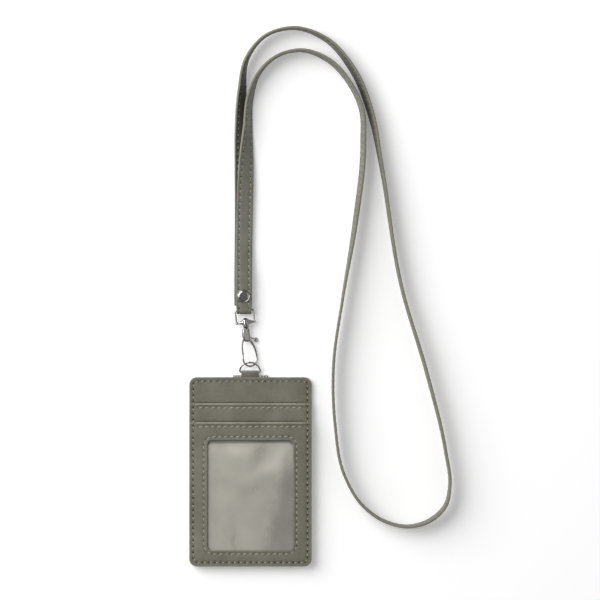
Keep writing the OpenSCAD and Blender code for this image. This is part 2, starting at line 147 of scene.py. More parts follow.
def spread(tree, factor, low, high):
    """Stretches a factor from 0 to 1 onto low to high."""
    inputs = {"Value": factor, "To Min": low, "To Max": high}
    return node(tree, "MapRange", inputs).outputs["Result"]


def math_node(tree, operation, first, second):
    return node(tree, "Math", {0: first, 1: second}, operation=operation).outputs[0]


def toned(tree, colour):
    """A colour, made lighter or darker by the tone stored at each point, which holds the piece's
    own colour changes and painted light and shade.
    """
    tone = node(tree, "Attribute", attribute_name="tone").outputs["Fac"]
    inputs = {0: colour, "Scale": math_node(tree, "ADD", tone, 1.0)}
    return node(tree, "VectorMath", inputs, operation="SCALE").outputs[0]


def bump(tree, height, depth, normal=None):
    """Bump whose full height is depth millimetres."""
    inputs = {"Height": height, "Distance": depth * MM, "Strength": 1.0}
    if normal is not None:
        inputs["Normal"] = normal
    return node(tree, "Bump", inputs).outputs["Normal"]


def leather(name, dark, middle, light, cloud, grain, gloss=0.35, rough=0.5):
    """Fine-grained leather with soft clouds of colour. cloud and grain are sizes."""
    material, tree, surface = new_material(name)
    place = place_on(tree)
    clouds = noise_at(tree, place, cloud, 4.0, 0.55)
    flecks = noise_at(tree, place, cloud / 9, 3.0, 0.6)
    mix = math_node(tree, "ADD", math_node(tree, "MULTIPLY", clouds, 0.72),
                    math_node(tree, "MULTIPLY", flecks, 0.28))
    colour = ramp(tree, mix, (0.3, linear(dark)), (0.5, linear(middle)), (0.72, linear(light)))
    cells = node(tree, "TexVoronoi", {"Vector": place, "Scale": 1 / grain},
                 feature="SMOOTH_F1").outputs["Distance"]
    pores = noise_at(tree, place, grain / 2, 4.0, 0.6)
    fine = bump(tree, pores, 0.04, bump(tree, cells, 0.05))
    set_inputs(tree, surface, {
        "Base Color": toned(tree, colour), "Roughness": spread(tree, flecks, rough, rough + 0.18),
        "Specular IOR Level": gloss, "Normal": bump(tree, clouds, 0.5, fine)})
    return material


def plain(name, colour, vary, size, depth, rough):
    """One colour with a little variation, and a fine uneven surface."""
    material, tree, surface = new_material(name)
    place = place_on(tree)
    stops = [(0.3, lit(linear(colour), 1 - vary)), (0.7, lit(linear(colour), 1 + vary))]
    set_inputs(tree, surface, {
        "Base Color": ramp(tree, noise_at(tree, place, size), *stops), "Roughness": rough,
        "Normal": bump(tree, noise_at(tree, place, size / 3), depth)})
    return material


def woven(name, colour):
    """Fine plain weave."""
    material, tree, surface = new_material(name)
    place = place_on(tree)
    wave = {"Vector": place, "Scale": 0.9, "Distortion": 1.2, "Detail Scale": 2.0}
    threads = [node(tree, "TexWave", wave, bands_direction=way).outputs["Fac"] for way in "XY"]
    weave = math_node(tree, "MULTIPLY", *threads)
    cloth = ramp(tree, weave, (0.0, lit(linear(colour), 0.9)), (0.7, linear(colour)))
    set_inputs(tree, surface, {
        "Base Color": toned(tree, cloth), "Roughness": 0.85, "Specular IOR Level": 0.2,
        "Normal": bump(tree, weave, 0.05)})
    return material


def metal(name, colour, roughness, scratch):
    """Polished plate with faint wear."""
    material, tree, surface = new_material(name)
    place = place_on(tree)
    patches = noise_at(tree, place, 1.6, 4.0)
    uneven = bump(tree, noise_at(tree, place, 2.6, 2.0), scratch * 22)
    set_inputs(tree, surface, {
        "Base Color": linear(colour), "Metallic": 1.0,
        "Roughness": spread(tree, patches, roughness * 0.7, roughness * 1.5),
        "Normal": bump(tree, noise_at(tree, place, 0.5), scratch, uneven)})
    return material


def clear_film(name, colour):
    """Soft clear film: mostly see-through, with gloss."""
    material, tree, surface = new_material(name)
    place = place_on(tree)
    set_inputs(tree, surface, {
        "Base Color": toned(tree, linear(colour)[:3]), "Alpha": 0.42, "IOR": 1.5,
        "Roughness": spread(tree, noise_at(tree, place, 9), 0.1, 0.3),
        "Normal": bump(tree, noise_at(tree, place, 7, 2.0), 0.25)})
    return material


LEATHER = leather("leather", (101, 98, 86), (113, 111, 98), (124, 122, 109), 14, 0.55)
STRAP_LEATHER = leather("strap_leather", (97, 95, 85), (107, 105, 95), (117, 115, 104), 9, 0.45,
                        gloss=0.5, rough=0.42)
TAB_LEATHER = leather("tab_leather", (108, 107, 100), (117, 116, 108), (126, 125, 117), 6, 0.45)
CUT_EDGE = plain("cut_edge", (128, 126, 112), 0.08, 1.2, 0.03, rough=0.7)
THREAD = plain("thread", (158, 155, 138), 0.14, 0.5, 0.04, rough=0.75)
PALE_THREAD = plain("pale_thread", (178, 177, 170), 0.12, 0.5, 0.04, rough=0.75)
# Painted shade: the needle holes' pits are coloured dark as the shade inside them.
HOLE = plain("stitch_hole_shade", (36, 35, 30), 0.15, 0.5, 0.02, rough=0.95)
BOARD = plain("board", (185, 180, 165), 0.06, 2.0, 0.03, rough=0.9)
LINING = woven("lining", (186, 182, 170))
FILM = clear_film("film", (200, 197, 187))
NICKEL = metal("nickel", (162, 161, 157), 0.09, 0.004)
STEEL = metal("spring_steel", (170, 170, 168), 0.3, 0.01)


# Shapes: pairs of vertices and faces

UP = Vector((0, 0, 1))


def cosine(degrees):
    return math.cos(math.radians(degrees))


def sine(degrees):
    return math.sin(math.radians(degrees))


def ease(value, low, high):
    """0 below low, 1 above high and smooth between."""
    t = min(1.0, max(0.0, (value - low) / (high - low)))
    return t * t * (3 - 2 * t)


def even(start, end, count):
    """Numbers from start to end in count even steps."""
    return [start + (end - start) * i / count for i in range(count + 1)]


def circle(sides, power=2.0):
    """Places round a circle of radius 1, or round a squarer curve where power is over 2."""
    found = []
    for j in range(sides):
        turn = 2 * math.pi * j / sides
        c, s = math.cos(turn), math.sin(turn)
        found.append((math.copysign(abs(c) ** (2 / power), c),
                      math.copysign(abs(s) ** (2 / power), s)))
    return found


def arc(middle, radius, angles):
    """Places on a circle that lies flat, at these angles."""
    return [middle + radius * Vector((cosine(a), sine(a), 0)) for a in angles]


def way_at(places, i, loop=False):
    """The direction of a line at one of its places."""
    last = len(places) - 1
    after = (i + 1) % len(places) if loop else min(last, i + 1)
    before = i - 1 if loop else max(0, i - 1)
    return (places[after] - places[before]).normalized()


def skin(rings, loop=False):
    """A closed tube through rings of as many points, or one whose last ring joins its first."""
    sides, total = len(rings[0]), len(rings) * len(rings[0])
    faces = []
    for start in range(0, total if loop else total - sides, sides):
        for j in range(sides):
            a, b = start + j, start + (j + 1) % sides
            faces.append((a, b, (b + sides) % total, (a + sides) % total))
    if not loop:
        faces += [tuple(reversed(range(sides))), tuple(range(total - sides, total))]
    return [point for ring in rings for point in ring], faces


def tube(centres, normals, radii, sides, power=2.0, loop=False):
    """A bar along a line. radii are pairs: across the bar and along its normal."""
    rings = []
    for i, (centre, normal, (wide, high)) in enumerate(zip(centres, normals, radii)):
        across = way_at(centres, i, loop).cross(normal).normalized()
        rings.append([centre + across * (wide * c) + normal * (high * s)
                      for c, s in circle(sides, power)])
    return skin(rings, loop)


def wire(centres, radii, sides, loop=False):
    """A round wire along a line that lies flat."""
    return tube(centres, [UP] * len(centres), [(r, r) for r in radii], sides, loop=loop)


def lathe(profile, sides, loop=False):
    """Turns (radius, height) pairs round the Z axis."""
    return skin([[Vector((max(radius, 0.001) * c, max(radius, 0.001) * s, height))
                  for c, s in circle(sides)] for radius, height in profile], loop)


def placed(matrix, shape):
    return [matrix @ Vector(v) for v in shape[0]], shape[1]


def joined(shapes):
    vertices, faces = [], []
    for some_vertices, some_faces in shapes:
        first = len(vertices)
        vertices += some_vertices
        faces += [tuple(first + i for i in face) for face in some_faces]
    return vertices, faces


def grid(wide, rows):
    """Faces of a grid of points, and the points round its border."""
    faces = [(a, a + 1, a + wide + 1, a + wide)
             for i in range(rows - 1) for a in range(i * wide, (i + 1) * wide - 1)]
    last = (rows - 1) * wide
    border = [*range(wide), *range(2 * wide - 1, last + wide, wide),
              *range(last + wide - 2, last - 1, -1), *range(last - wide, 0, -wide)]
    return faces, border


# Pieces

def new_mesh(name, shape):
    mesh = bpy.data.meshes.new(name)
    mesh.from_pydata([Vector(v) * MM for v in shape[0]], [], shape[1])
    return mesh


def smooth(mesh, sharp_angle):
    mesh.polygons.foreach_set("use_smooth", [True] * len(mesh.polygons))
    mesh.set_sharp_from_angle(angle=math.radians(sharp_angle))


def make_piece(name, shape, body, slot, materials, *replaces, picks=None):
    """A smooth mesh piece. picks gives each face its material."""
    mesh = new_mesh(name, shape)
    for material in materials:
        mesh.materials.append(material)
    if picks is not None:
        mesh.polygons.foreach_set("material_index", picks)
    turned = bmesh.new()
    turned.from_mesh(mesh)
    bmesh.ops.recalc_face_normals(turned, faces=turned.faces)
    turned.to_mesh(mesh)
    turned.free()
    smooth(mesh, 50)
    piece = add_object(name, mesh)
    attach(piece, body)
    if replaces:
        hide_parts(*replaces)
    return piece


def make_metal(name, shape, body, replaces):
    return make_piece(name, shape, body, "nickel", [NICKEL], replaces)


def add_tones(piece, tones):
    """Keeps each point's tone, which the material's colour reads."""
    attribute = piece.data.attributes.new("tone", "FLOAT", "POINT")
    values = list(tones) + [0.0] * (len(piece.data.vertices) - len(tones))
    attribute.data.foreach_set("value", values)


# The strap

STRAP_W = 9.9
STRAP_T = 1.6
END_T = 1.2
EDGE_R = 0.55
EDGE_FACES = 3  # on each rounded edge of a half section
STRAP_ROW = 3.0
STRAP_PITCH = 3.8
STRAP_STEP = 1.2
AXIS_Z = 3.4
FOLD_INNER_R = 0.65
FOLD_BOTTOM = 1.75
FOLD_W = 8.9
fold_low, fold_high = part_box("strap_fold")
FOLD_TURN_Y = fold_low.y / MM + FOLD_BOTTOM
NARROWING = 5.0
LEG_START_Y = 99.0
TAIL_STEPS = 10
TAIL_STEP = 1.25

# The route from the clasp on: x, y, lift above the table and lean. A lean of 0 stands on edge,
# 90 lies flat with the stitched face up, and -90 lies flat with it down.
ROUTE = [
    (-3.95, 113, 4, 90), (-3.9, 132, 1.9, 90), (-3.3, 164, 1.8, 88), (-2.6, 188, 1.2, 60),
    (-1.7, 208, 0.1, 30), (-0.2, 227, 0, 19), (4.8, 240.5, 1, 7), (15.5, 251, 1.5, 2),
    (31.4, 254.8, 1.5, 3), (47, 249, 1, 9), (60, 235, 0, 10), (67, 220, 0.5, 11),
    (68.2, 198, 1.2, 13), (63.5, 152, 2, 11), (55.6, 104, 2.5, 1), (50.2, 65, 2.5, 1),
    (51, 30, 2.5, 0), (57, -2.5, 2, 0), (67.5, -20, 1, -1), (80.5, -29.6, 0, -2),
    (95, -33, 0.5, -3), (109, -29, 1.5, -6), (118, -20, 2, -5), (120.5, -8, 2.2, -2),
    (118, 12, 2.5, -2), (106.5, 60, 2.5, -4), (91.5, 111, 2.2, -3), (78.6, 188, 1.2, -7),
    (73, 216, 0, -17), (62, 243, 0, -18), (45, 262, 0, -10), (26.9, 268.3, 1, -3),
    (9, 263.5, 1.5, -2), (-2, 250, 1.2, -9), (-5.2, 230, 0, -26), (-5.3, 208, 0, -54),
    (-4.8, 186, 0, -76), (-4.6, 160, 0, -90), (-4.8, 132, 0, -90), (-4.9, 113, 2.55, -90),
]


def blend_curve(a, b, m, n, u):
    """A smooth curve from a to b that leaves along m and arrives along n."""
    return (a * (2 * u ** 3 - 3 * u ** 2 + 1) + m * (u ** 3 - 2 * u ** 2 + u)
            + b * (3 * u ** 2 - 2 * u ** 3) + n * (u ** 3 - u ** 2))


def narrowed(y):
    """The strap's width near its fold."""
    return FOLD_W + min(STRAP_W - FOLD_W, max(0.0, (y - FOLD_TURN_Y) / NARROWING))


def strap_line():
    """Stations along the strap: [place, direction, lean, thickness, width]."""
    places = []
    for x, y, lift, lean in ROUTE:
        rise = STRAP_W / 2 * abs(cosine(lean)) + STRAP_T / 2 * abs(sine(lean))
        places.append(Vector((x, y, lift + rise)))
    leans = [row[3] for row in ROUTE]
    last = len(places) - 1
    chords = [(places[i + 1] - places[i]).length for i in range(last)]
    slopes, lean_slopes = [Vector((0, 1, 0))], [0.0]
    for i in range(1, last):
        a, b = chords[i - 1], chords[i]
        slopes.append(((places[i + 1] - places[i]) * a / b
                       + (places[i] - places[i - 1]) * b / a) / (a + b))
        lean_slopes.append((leans[i + 1] - leans[i - 1]) / (a + b))
    slopes.append(Vector((0, -1, 0)))
    lean_slopes.append(0.0)
    stations = []
    for i, h in enumerate(chords):
        steps = max(2, round(h / STRAP_STEP))
        for k in range(steps + (i == last - 1)):
            u = k / steps
            point = blend_curve(places[i], places[i + 1], slopes[i] * h, slopes[i + 1] * h, u)
            lean = blend_curve(leans[i], leans[i + 1],
                               lean_slopes[i] * h, lean_slopes[i + 1] * h, u)
            thick = STRAP_T if i < last - 1 else STRAP_T + (END_T - STRAP_T) * u
            stations.append([point, None, lean, thick, STRAP_W])
    start, end = stations[0][0], stations[-1][0]
    start.z = AXIS_Z + FOLD_INNER_R + STRAP_T / 2
    lead = [[Vector((start.x, LEG_START_Y + i, start.z)), None, 90.0, STRAP_T,
             narrowed(LEG_START_Y + i)] for i in range(round(ROUTE[0][1] - LEG_START_Y))]
    tail = [[Vector((end.x, ROUTE[-1][1] - i * TAIL_STEP, AXIS_Z)), None, -90.0, END_T, STRAP_W]
            for i in range(1, TAIL_STEPS + 1)]
    stations = lead + stations + tail
    line = [station[0] for station in stations]
    for i, station in enumerate(stations):
        station[1] = way_at(line, i)
    return stations


STATIONS = strap_line()


def strap_axes(direction, lean):
    """The directions across the strap and out of its stitched face."""
    right = direction.cross(UP).normalized()
    across = cosine(lean) * right.cross(direction) - sine(lean) * right
    return across, direction.cross(across)


def strap_section(width, thick):
    """Pairs across and out, round the strap, with soft edges and sewn-down rows."""
    half, high = width / 2, thick / 2
    radius = min(EDGE_R, 0.95 * high)
    points = [(half - radius * (1 - sine(90 - turn)), high - radius + radius * sine(turn))
              for turn in (0, 30, 60, 90)]
    row = STRAP_ROW * width / STRAP_W
    points += [(row + 0.75, high), (row + 0.3, high - 0.1), (row, high - 0.16),
               (row - 0.3, high - 0.1), (row - 0.75, high + 0.02), (row / 2, high + 0.05)]
    upper = points + [(0.0, high + 0.06)] + [(-a, b) for a, b in reversed(points)]
    return upper + [(-a, -b) for a, b in upper]


def make_strap_piece(name, rings, *replaces):
    """A part of the strap, with the cut edge's material on its edges and ends."""
    vertices, faces = skin(rings)
    half = len(rings[0]) // 2
    picks = [0 if EDGE_FACES - 1 <= i % half < half - EDGE_FACES else 1 for i in range(len(faces))]
    return make_piece(name, (vertices, faces), "lanyard", "leather_strap",
                      [STRAP_LEATHER, CUT_EDGE], *replaces, picks=picks)


def strap_painted_light_and_shade():
    """Painted light and shade: the front layer is painted paler where it twists away from the lamp,
    and the layer under it is painted darker as shade.
    """
    walked = [0.0]
    for before, after in zip(STATIONS, STATIONS[1:]):
        walked.append(walked[-1] + (after[0] - before[0]).length)
    tones = []
    for start in walked:
        end = walked[-1] - start
        # Painted highlight on the twisting front layer, then painted shade on the layer under it
        # near the strap's end.
        front = -0.03 + 0.26 * ease(start, 60, 88) - 0.22 * ease(start, 128, 146)
        tones.append(front - 0.3 * ease(end, 35, 60) * (1 - ease(end, 125, 150)))
    return tones


def make_strap():
    rings = []
    for point, direction, lean, thick, width in STATIONS:
        across, out = strap_axes(direction, lean)
        rings.append([point + a * across + b * out for a, b in strap_section(width, thick)])
    strap = make_strap_piece("neck_strap", rings, "lanyard_strap", "strap_end")
    add_tones(strap, [tone for tone, ring in zip(strap_painted_light_and_shade(), rings) for _ in ring])
    return strap


neck_strap = make_strap()
strap_path = [station[0] * MM for station in STATIONS]
strap_length = sum((b - a).length for a, b in zip(strap_path, strap_path[1:]))


# Stitches

THREAD_W = 0.55
THREAD_H = 0.25
THREAD_SWING = 0.06
STITCH_SHAPE = [(0.0, -0.9, 0.45), (0.1, -0.1, 0.75), (0.28, 0.42, 1.0), (0.5, 0.5, 1.05),
                (0.72, 0.42, 1.0), (0.9, -0.1, 0.75), (1.0, -0.9, 0.45)]


def lifted(place, lift, out):
    return place + out * lift


def stitch(start, end, start_out, end_out, width, drape):
    """One thread that dives into the leather at both ends: shares of length, height and width."""
    centres, normals, radii = [], [], []
    for along, rise, swell in STITCH_SHAPE:
        out = start_out.lerp(end_out, along).normalized()
        centres.append(drape(start.lerp(end, along), rise * THREAD_H, out))
        normals.append(out)
        radii.append((width / 2 * swell, THREAD_H * 0.55 * swell))
    return tube(centres, normals, radii, 6)


def needle_hole(centre, along, out, length, width, drape):
    """A low pit coloured dark as painted shade inside the hole, a hair above the leather so that it
    shows.
    """
    across = along.cross(out).normalized()
    vertices, faces = skin([
        [drape(centre + along * (length / 2 * scale * c) + across * (width / 2 * scale * s),
               lift, out) for c, s in circle(10)]
        for scale, lift in ((1.0, -0.05), (0.85, 0.035), (0.45, -0.02))])
    inner = faces.pop()
    faces += [(a, b, len(vertices)) for a, b in zip(inner, inner[1:] + inner[:1])]
    return vertices + [drape(centre, -0.06, out)], faces


def spaced(points, pitch):
    """Places at even pitch along a line, each as a point's number and the share to the next one."""
    lengths = [0.0]
    for a, b in zip(points, points[1:]):
        lengths.append(lengths[-1] + (b - a).length)
    count = max(1, round(lengths[-1] / pitch))
    found, k = [], 0
    for target in even(0.0, lengths[-1], count):
        while k < len(lengths) - 2 and lengths[k + 1] < target:
            k += 1
        span = lengths[k + 1] - lengths[k]
        found.append((k, 0.0 if span == 0 else (target - lengths[k]) / span))
    return found


def sew(name, rows, body, hole_size, gaps, slant, width=THREAD_W, drape=lifted, replaces=()):
    """Threads and their needle holes along rows of (places, outs, pitch).

    gaps are the bare lengths between a thread and the holes before and after it.
    """
    rng = random.Random(name)
    threads, holes = [], []
    for places, outs, pitch in rows:
        marks = [(places[k].lerp(places[k + 1], share),
                  outs[k].lerp(outs[k + 1], share).normalized())
                 for k, share in spaced(places, pitch)]
        for (a, a_out), (b, b_out) in zip(marks, marks[1:]):
            along = (b - a).normalized()
            aside = along.cross(a_out) * (slant + rng.uniform(-THREAD_SWING, THREAD_SWING))
            threads.append(stitch(a + along * gaps[0] + aside, b - along * gaps[1] - aside,
                                  a_out, b_out, width, drape))
        line = [mark for mark, _ in marks]
        for i, (mark, out) in enumerate(marks):
            holes.append(needle_hole(mark, way_at(line, i), out, *hole_size, drape))
    return (make_piece(name, joined(threads), body, "thread", [THREAD], *replaces),
            make_piece(name + "_holes", joined(holes), body, "thread", [HOLE]))


def strap_row(side, face, start):
    """A row on one face of the strap, from a station on."""
    places, outs = [], []
    for point, direction, lean, thick, _ in STATIONS[start:-TAIL_STEPS - 2]:
        across, out = strap_axes(direction, lean)
        places.append(point + side * STRAP_ROW * across + face * (thick / 2 - 0.09) * out)
        outs.append(face * out)
    return places, outs, STRAP_PITCH


BACK_ROW_START = 15  # the first station past the strap's folded end
strap_seams = sew("strap_stitching",
                  [strap_row(side, face, 0 if face > 0 else BACK_ROW_START)
                   for side in (-1, 1) for face in (1, -1)],
                  "lanyard", hole_size=(0.85, 0.8), gaps=(1.75, 0.35), slant=0.05, width=0.62)


# The strap's folded end

def make_fold():
    """The strap's end, turned round the bail and brought up behind."""
    middle_r = FOLD_INNER_R + STRAP_T / 2
    squeeze = FOLD_BOTTOM / (FOLD_INNER_R + STRAP_T)
    end_y = fold_high.y / MM - 1.0
    line = [(LEG_START_Y - 0.9 * i, middle_r) for i in range(3)]
    line += [(FOLD_TURN_Y - middle_r * sine(a) * squeeze, middle_r * cosine(a))
             for a in range(0, 181, 12)]
    line += [(y, -middle_r) for y in even(FOLD_TURN_Y, end_y, 16)[1:]]
    places = [Vector((STATIONS[0][0].x, y, AXIS_Z + rise)) for y, rise in line]
    rings = []
    for i, place in enumerate(places):
        out = way_at(places, i).cross(Vector((1, 0, 0)))
        rings.append([place + Vector((a, 0, 0)) + b * out
                      for a, b in strap_section(narrowed(place.y), STRAP_T - 0.06)])
    return make_strap_piece("strap_end_fold", rings, "strap_fold")


strap_fold = make_fold()


# The wallet

HALF_W = 37.0
HALF_H = 57.15
CORNER_R = 4.5
CORE_Z, BASE_Z, TOP_Z = 0.8, 2.0, 2.8
SLOT_Z, FILM_Z, WINDOW_Z = 4.4, 5.4, 6.4
SHEET_T = 0.8
SHEET_EDGE_R = 0.25
SLOT_LIP_Y = 41.4
WINDOW_LIP_Y = 30.0
POCKET_X = 33.0
POCKET_FLOOR_Y = -53.15
BOARD_END_Y = 48.15
OUTLINE = (-HALF_W, -HALF_H, HALF_W, HALF_H)
WINDOW_BOX = (-25.9, -47.4, 25.9, 19.1)
WINDOW_R = 2.7
LIP_CORNER_R = 0.35
TAB_BASE_W = 21.0

SEAM_INSET = 2.4
SEAM_PITCH = 3.65
LIP_SEAM = 2.6
LIP_PITCH = 3.7
LIP_REACH = 31.9
WINDOW_SEAM = 2.2
WINDOW_PITCH = 3.6

# Distances from a sheet's edge at which its surface has points
SHEET_STEPS = [0.0, 0.03, 0.08, 0.15, 0.25, 0.45, 0.7, 1.0, 1.3, 1.6, 1.85, 2.1, 2.4, 2.7, 2.95,
               3.3, 3.7, 4.2]
FRAME_STEPS = [0, 0.03, 0.08, 0.15, 0.25, 0.45, 0.7, 1.0, 1.3, 1.55, 1.8, 2.1, 2.4, 2.6, 2.85, 3.2,
               3.7, 4.4]
WINDOW_STEPS = [4.6, 3.9, 3.4, 3.0, 2.7, 2.45, 2.2, 1.95, 1.7, 1.4, 1.1, 0.85, 0.6, 0.4, 0.25, 0.15,
                0.08, 0.03, 0]
LOW_STEPS = [0, 0.03, 0.08, 0.15, 0.25, 0.4, 0.6, 0.85, 1.15]
HIGH_STEPS = [1.4, 1.1, 0.85, 0.6, 0.4, 0.25, 0.15, 0.08, 0.03, 0]
EVEN_FROM = 5.0  # from here inward a sheet's points are evenly spaced
SHEET_STEP_X, SHEET_STEP_Y = 1.3, 0.5


def round_loop(box, radii, across, along, turn):
    """Points round a box with round corners, from its lower left corner's end, counter-clockwise.

    radii go from the lower right corner round to the lower left one.
    """
    low_x, low_y, high_x, high_y = box
    corners = [(high_x, low_y, -1, 1, -90), (high_x, high_y, -1, -1, 0),
               (low_x, high_y, 1, -1, 90), (low_x, low_y, 1, 1, 180)]
    arcs = [arc(Vector((x + dx * radius, y + dy * radius, 0)), radius,
                even(start, start + 90, turn))
            for (x, y, dx, dy, start), radius in zip(corners, radii)]
    points = []
    for i, count in enumerate((across, along, across, along)):
        start, end = arcs[i - 1][-1], arcs[i][0]
        points += [start.lerp(end, k / count) for k in range(count)]
        points += arcs[i][:-1]
    return points


def shrink(box, d):
    return (box[0] + d, box[1] + d, box[2] - d, box[3] - d)


def box_distance(x, y, box, low_r, high_r):
    """How far a point lies inside a box with round corners, low_r below and high_r above."""
    a = abs(x - (box[0] + box[2]) / 2) - (box[2] - box[0]) / 2
    b = abs(y - (box[1] + box[3]) / 2) - (box[3] - box[1]) / 2
    radius = low_r if y < (box[1] + box[3]) / 2 else high_r
    a, b = a + radius, b + radius
    return radius - math.hypot(max(a, 0), max(b, 0)) - min(max(a, b), 0)


def edge_distance(x, y):
    """How far a point lies inside the wallet's outline."""
    return box_distance(x, y, OUTLINE, CORNER_R, CORNER_R)


def window_distance(x, y):
    """How far a point lies outside the window."""
    return -box_distance(x, y, WINDOW_BOX, WINDOW_R, WINDOW_R)


def seam_line(box, radius, across, along, turn):
    points = round_loop(box, [radius] * 4, across, along, turn)
    return points + points[:1]


def lip_line(lip_y):
    return [Vector((x, lip_y - LIP_SEAM, 0)) for x in even(-LIP_REACH, LIP_REACH, 160)]


def hole_tree(line, pitch):
    places = [line[k].lerp(line[k + 1], share) for k, share in spaced(line, pitch)]
    tree = kdtree.KDTree(len(places))
    for i, place in enumerate(places):
        tree.insert((place.x, place.y, 0), i)
    tree.balance()
    return tree


EDGE_SEAM = seam_line(shrink(OUTLINE, SEAM_INSET), CORNER_R - SEAM_INSET, 160, 260, 8)
WINDOW_LINE = seam_line(shrink(WINDOW_BOX, -WINDOW_SEAM), WINDOW_R + WINDOW_SEAM, 120, 150, 10)
EDGE_HOLES = hole_tree(EDGE_SEAM, SEAM_PITCH)
LIP_HOLES = {lip: hole_tree(lip_line(lip), LIP_PITCH) for lip in (SLOT_LIP_Y, WINDOW_LIP_Y)}
WINDOW_HOLES = hole_tree(WINDOW_LINE, WINDOW_PITCH)


def hump(distance, width):
    """A smooth hump, 1 at distance 0 and gone beyond a few widths."""
    return math.exp(-(distance / width) ** 2 / 2)


def near_hole(tree, x, y, amount, width):
    """The amount at a needle hole, and less beside it."""
    gap = tree.find((x, y, 0))[2]
    return amount * hump(gap, width) if gap < 4 * width else 0.0


def slow_wave(x, y, size, seed):
    return noise.noise(Vector((x / size, y / size, seed)))


def over_pocket(x, fade):
    """0 over the pocket, and 1 beside it."""
    return ease(abs(x), POCKET_X - fade, POCKET_X + fade)


def seam_relief(x, y):
    """The pressed-down edge seam, with a dip at each needle hole."""
    pressed = -0.13 * hump(edge_distance(x, y) - SEAM_INSET, 0.8)
    return pressed + near_hole(EDGE_HOLES, x, y, -0.22, 0.5)


def sheet_relief(x, y, seed):
    """The edge seam, and slow waves in the leather."""
    wave = 0.07 * slow_wave(x, y, 26, seed) + 0.03 * slow_wave(x, y, 9, seed + 4)
    return seam_relief(x, y) + ease(edge_distance(x, y), 0, 5) * wave


def lip_relief(x, y, lip_y):
    """A folded edge: a bead, a crease below it and the sewn row."""
    down = lip_y - y
    bead = 0.1 * hump(down - 0.7, 0.4) - 0.1 * hump(down - 1.75, 0.35)
    row = -0.08 * hump(down - LIP_SEAM, 0.5) + near_hole(LIP_HOLES[lip_y], x, y, -0.16, 0.45)
    return (1 - over_pocket(x, 1)) * (bead + row)


def lip_groove(x, y, lip_y):
    """The leather sinks where the next sheet's folded edge presses on it."""
    return -0.22 * hump(y - lip_y - 0.25, 0.4) * (1 - over_pocket(x, 1))


def top_relief(x, y):
    return sheet_relief(x, y, 1.5) + lip_groove(x, y, SLOT_LIP_Y)


def slot_relief(x, y):
    return sheet_relief(x, y, 5.5) + lip_relief(x, y, SLOT_LIP_Y) + lip_groove(x, y, WINDOW_LIP_Y)


def window_relief(x, y):
    d = window_distance(x, y)
    ring = -0.1 * hump(d - WINDOW_SEAM, 0.55) + near_hole(WINDOW_HOLES, x, y, -0.18, 0.45)
    bead = 0.07 * hump(d - 0.8, 0.4) - 0.05 * hump(d - 1.5, 0.3)
    return sheet_relief(x, y, 9.5) + lip_relief(x, y, WINDOW_LIP_Y) + ring + bead


def back_height(x, y):
    return -seam_relief(x, y) * 1.5


def front_height(x, y):
    """The height of the wallet's front surface, wherever a thread lies on it."""
    if y > SLOT_LIP_Y:
        return TOP_Z + top_relief(x, y)
    if y > WINDOW_LIP_Y:
        return SLOT_Z + slot_relief(x, y)
    return WINDOW_Z + window_relief(x, y)


def drape(point, lift, out):
    """Lays a thread on the wallet's front or back."""
    if out.z > 0:
        return Vector((point.x, point.y, front_height(point.x, point.y) + lift))
    return Vector((point.x, point.y, max(back_height(point.x, point.y) - lift, 0.0)))


def lip_wear_and_shading(x, y, lip_y):
    """The folded edge is painted light, partly as wear and partly as a painted highlight; the
    crease below it and the leather under it get painted shade.
    """
    inner = 1 - 0.55 * over_pocket(x, 0.6)
    down = lip_y - y
    if down >= 0:
        return inner * (0.8 * (1 - ease(down, 0.55, 1.0)) - 0.12 * hump(down - 1.8, 0.4))
    return inner * -0.5 * (1 - ease(-down, 0.25, 1.0))


def front_tone_and_shading(x, y, level):
    """How much lighter or darker the leather is than its own colour, with painted highlights and
    painted shade.
    """
    d = edge_distance(x, y)
    # Painted highlight along the rim, and painted shade along the pressed seam.
    tone = 0.24 * (1 - ease(d, 0.0, 1.3)) - 0.1 * hump(d - SEAM_INSET, 0.7)
    # Painted shade round the needle holes; the rows below get the same.
    tone += near_hole(EDGE_HOLES, x, y, -0.2, 0.7)
    tone += 0.07 * slow_wave(x, y, 30, 3.3) + 0.06 * slow_wave(x * 2.5, y * 0.6, 14, 7.7)
    # Wear, painted highlights and painted shade at the folded edges.
    tone += lip_wear_and_shading(x, y, SLOT_LIP_Y) if level < 2 else 0.0
    tone += lip_wear_and_shading(x, y, WINDOW_LIP_Y) if level > 0 else 0.0
    if level == 1 and y > WINDOW_LIP_Y:
        tone += near_hole(LIP_HOLES[SLOT_LIP_Y], x, y, -0.12, 0.6)
    if level == 2:
        tone += near_hole(LIP_HOLES[WINDOW_LIP_Y], x, y, -0.12, 0.6)
        tone += near_hole(WINDOW_HOLES, x, y, -0.15, 0.6)
        tone += 0.12 * (1 - ease(window_distance(x, y), 0.2, 0.8))
        # Painted light: lighter on the left, towards the lamp, and darker on the right.
        tone -= 0.09 * x / HALF_W
    return tone


def top_tone(x, y):
    return front_tone_and_shading(x, y, 0)


def slot_tone(x, y):
    return front_tone_and_shading(x, y, 1)


def back_tone_and_shading(x, y):
    # Lighter along the rim, with painted shade round the needle holes.
    return 0.1 * (1 - ease(edge_distance(x, y), 0.0, 0.9)) + near_hole(EDGE_HOLES, x, y, -0.2, 0.7)


def rounded(height, distance):
    """Lets a surface run down round a sheet's edge."""
    if distance >= SHEET_EDGE_R:
        return height
    gap = SHEET_EDGE_R - max(distance, 0.0)
    return height - SHEET_EDGE_R + math.sqrt(max(SHEET_EDGE_R ** 2 - gap * gap, 0.0))


def half_width(y):
    inset = abs(y) - (HALF_H - CORNER_R)
    if inset <= 0:
        return HALF_W
    return HALF_W - CORNER_R + math.sqrt(max(CORNER_R ** 2 - inset ** 2, 0.0))


